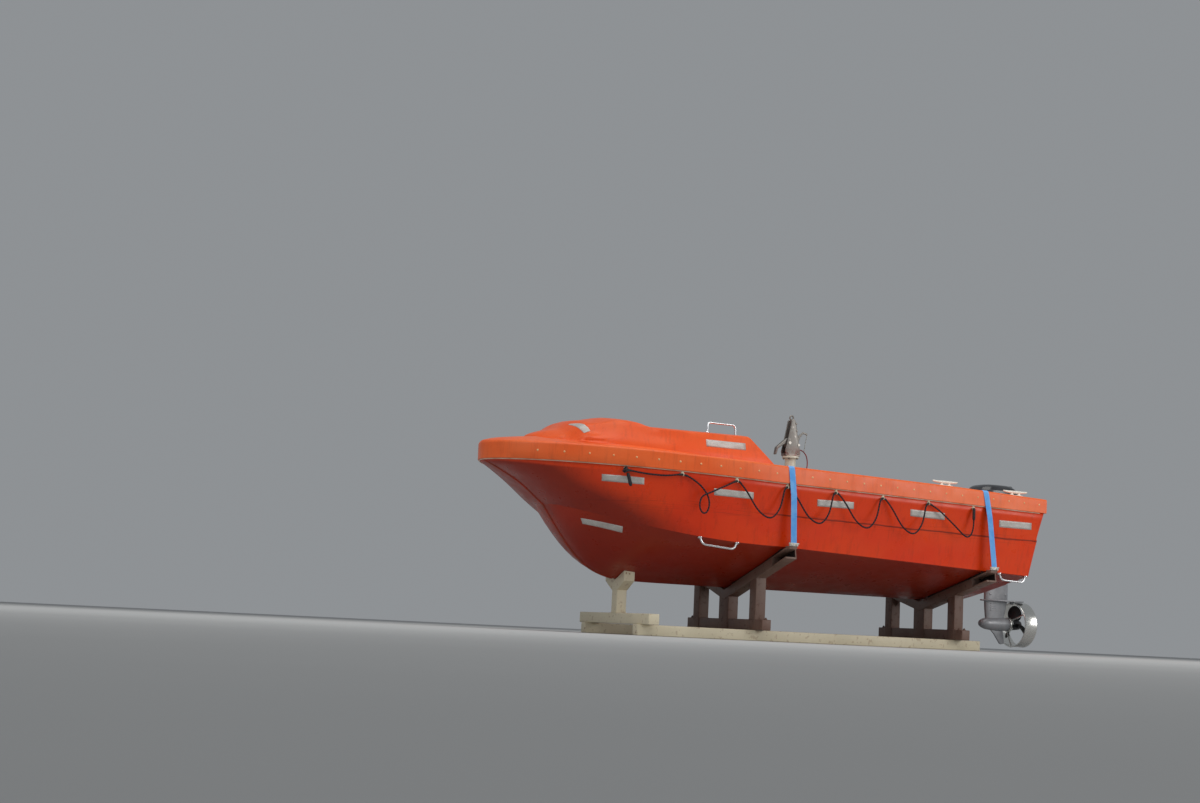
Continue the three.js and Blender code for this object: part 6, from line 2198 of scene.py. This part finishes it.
leg_rows = []
for a, b in zip(LEG, LEG[1:]):
    count = max(1, round((a[0] - b[0]) / 0.03))
    leg_rows += [tuple(mix(u, v, k / count) for u, v in zip(a, b)) for k in range(count)]
leg_rows.append(LEG[-1])
leg = ringed("leg", leg_rows[::-1], 2.4, 36)
GEAR = SimpleNamespace(
    z=0.234,
    profile=(
        (0.0, -2.68), (0.04, -2.68), (0.044, -2.676), (0.0445, -2.669), (0.052, -2.667), (0.054, -2.66),
        (0.054, -2.632), (0.057, -2.58), (0.058, -2.532), (0.055, -2.47), (0.048, -2.412), (0.04, -2.382),
        (0.028, -2.358), (0.014, -2.345), (0.0, -2.341)))
gear_case = lathe("gear_case", GEAR.profile, (0, 0, GEAR.z), (1, 0, 0), 36)
plate_outline = [
    (-2.352, 0.001), (-2.362, 0.016), (-2.43, 0.062), (-2.52, 0.076), (-2.62, 0.088), (-2.7, 0.083),
    (-2.76, 0.07), (-2.78, 0.045), (-2.789, 0.001)]
plate_ring = plate_outline + [(x, -y) for x, y in plate_outline[::-1]]
plate = cut_plate("plate", [(x, y, 0.423) for x, y in plate_ring], (0, 0, 0.011), 0.003, 3, 40, 40)
skeg = outline_piece(
    "skeg",
    (
        (-2.44, 0.204), (-2.592, 0.204), (-2.6, 0.15), (-2.612, 0.076), (-2.604, 0.069), (-2.574, 0.065),
        (-2.562, 0.07), (-2.5, 0.15)), -0.0065, 0.0065, 0.004, 3)
lugs = [
    lathe(
        "upper_lug", [(0, 1.0565), (0.034, 1.0565), (0.034, 1.0795), (0, 1.0795)], (STEER_X, 0, 0),
        (0, 0, 1), 28),
    lathe(
        "lower_lug", [(0, 0.6905), (0.034, 0.6905), (0.034, 0.7155), (0, 0.7155)], (STEER_X, 0, 0),
        (0, 0, 1), 28),
    block_piece("upper_yoke", (-2.437, -0.03, 1.0568), (STEER_X, 0.03, 1.0795), 0.004, 2),
    block_piece("lower_yoke", (-2.467, -0.03, 0.6905), (STEER_X, 0.03, 0.7155), 0.004, 2)]
leg_parts = [leg, gear_case, plate, skeg, *lugs]
for sign in (-1, 1):
    for i in range(4):
        z = 0.345 + 0.018 * i
        leg_parts.append(block_piece(
            "intake_rib", (-2.5, sign * 0.0275 - 0.0025, z), (-2.44, sign * 0.0275 + 0.0025, z + 0.006),
            0.002, 2))
    for x, z in ((-2.43, 0.66), (-2.6, 0.66), (-2.44, 0.48), (-2.6, 0.48)):
        leg_parts.append(hex_bolt(Vector((x, sign * 0.026, z)), (0, sign, 0), 0.0075, 0.0055, 0))
leg_parts.append(lathe(
    "anode", [(0, -0.02), (0.012, -0.02), (0.017, -0.015), (0.018, 0), (0, 0)], (-2.69, 0, 0.4232),
    (0, 0, 1), 20))
build(leg_parts, "motor_leg_casting", 40, motor_grey, "motor", ("motor_leg",))

# Propeller guard: a rolled stainless ring with rounded lips on three flat struts, clamped round
# the gear case so that nothing bigger than a hand reaches the blades.
GUARD = SimpleNamespace(x0=-2.812, x1=-2.686, inner=0.176, outer=0.188)


def guard_place(column, row):
    a = 2 * math.pi * column / 96
    r, x = (
        (GUARD.inner, GUARD.x0 + 0.004), (GUARD.inner + 0.002, GUARD.x0 + 0.001),
        (GUARD.outer - 0.003, GUARD.x0), (GUARD.outer, GUARD.x0 + 0.004),
        (GUARD.outer - 0.0025, GUARD.x0 + 0.016), (GUARD.outer - 0.0025, GUARD.x1 - 0.016),
        (GUARD.outer, GUARD.x1 - 0.004), (GUARD.outer - 0.003, GUARD.x1),
        (GUARD.inner + 0.002, GUARD.x1 - 0.001), (GUARD.inner, GUARD.x1 - 0.004),
        (GUARD.inner + 0.0015, GUARD.x1 - 0.016), (GUARD.inner + 0.0015, GUARD.x0 + 0.016),
        (GUARD.inner, GUARD.x0 + 0.004))[row]
    return Vector((x, r * math.cos(a), GEAR.z + r * math.sin(a)))


guard_parts = [close_and_smooth(placed_grid("ring", 97, 13, guard_place), 40)]
guard_parts.append(lathe(
    "collar",
    [
        (0.0545, -2.6635), (0.061, -2.6635), (0.062, -2.6615), (0.062, -2.6385), (0.061, -2.6365),
        (0.0545, -2.6365), (0.0545, -2.6635)], (0, 0, GEAR.z), (1, 0, 0), 40))
for degrees in (60, 180, 300):
    strut = outline_piece(
        "strut", ((-2.6385, 0.059), (-2.6635, 0.059), (-2.6995, 0.1775), (-2.674 - 0.014, 0.1775)), -0.0038,
        0.0038, 0.0015, 2)
    strut.data.transform(
        Matrix.Translation((0, 0, GEAR.z)) @ Matrix.Rotation(math.radians(degrees), 4, "X"))
    guard_parts.append(strut)
    bolt = hex_bolt(Vector((0, 0, 0)), (0, 0, 1), 0.007, 0.004)
    bolt.data.transform(
        Matrix.Translation((-2.688, 0, GEAR.z)) @ Matrix.Rotation(math.radians(degrees), 4, "X")
        @ Matrix.Translation((0, 0, GUARD.outer - 0.003)))
    guard_parts.append(bolt)
guard_steel = polished("guard_steel", srgb(214, 214, 210))
build(guard_parts, "propeller_guard", 40, guard_steel, "motor", ("prop_guard",))

# Propeller: three skewed aluminium blades with thick roots and thin edges on a barrel hub with
# a flared exhaust lip and a nut, painted satin black.
PROP = SimpleNamespace(x=-2.74, r=0.164)
BLADE = (
    (0.036, 0.074, 62), (0.058, 0.1, 53), (0.08, 0.118, 44), (0.104, 0.124, 38), (0.125, 0.116, 33),
    (0.143, 0.096, 30), (0.156, 0.064, 27), (0.1635, 0.022, 25))


def blade_place(column, row):
    r, chord, pitch = BLADE[column]
    turn = 2 * math.pi * row / 20
    across = math.cos(turn)
    thick = mix(0.004, 0.0012, r / PROP.r) * math.sin(turn) * math.sqrt(max(
        0.0, 1 - 0.55 * across * across))
    a = math.radians(pitch)
    u = across * chord / 2
    angle = (u * math.cos(a) - thick * math.sin(a)) / r
    rake = u * math.sin(a) + thick * math.cos(a)
    return Vector((PROP.x + 0.006 + rake, -r * math.sin(angle), r * math.cos(angle)))


prop_parts = [lathe(
    "hub",
    [
        (0, -0.045), (0.01, -0.045), (0.012, -0.042), (0.024, -0.0415), (0.034, -0.034), (0.04, -0.02),
        (0.0435, 0.01), (0.046, 0.04), (0.0455, 0.059), (0, 0.059)], (PROP.x, 0, GEAR.z), (1, 0, 0), 40)]
for degrees in (7, 127, 247):
    blade = capped(placed_grid("blade", len(BLADE), 21, blade_place))
    blade.data.transform(
        Matrix.Translation((0, 0, GEAR.z)) @ Matrix.Rotation(math.radians(degrees), 4, "X"))
    fine = blade.modifiers.new("fine", "SUBSURF")
    fine.levels = fine.render_levels = 1
    apply_all(blade)
    prop_parts.append(blade)
build(prop_parts, "propeller_casting", 50, satin_black, "propeller_shaft", ("propeller",))

for rope, line in grab_lines:
    tuple(line[0])
    [tuple(p) for p in line]

span = sum((b - a).length for a, b in zip(cable_line, cable_line[1:]))
tuple(cable_line[0])
[tuple(p) for p in cable_line]
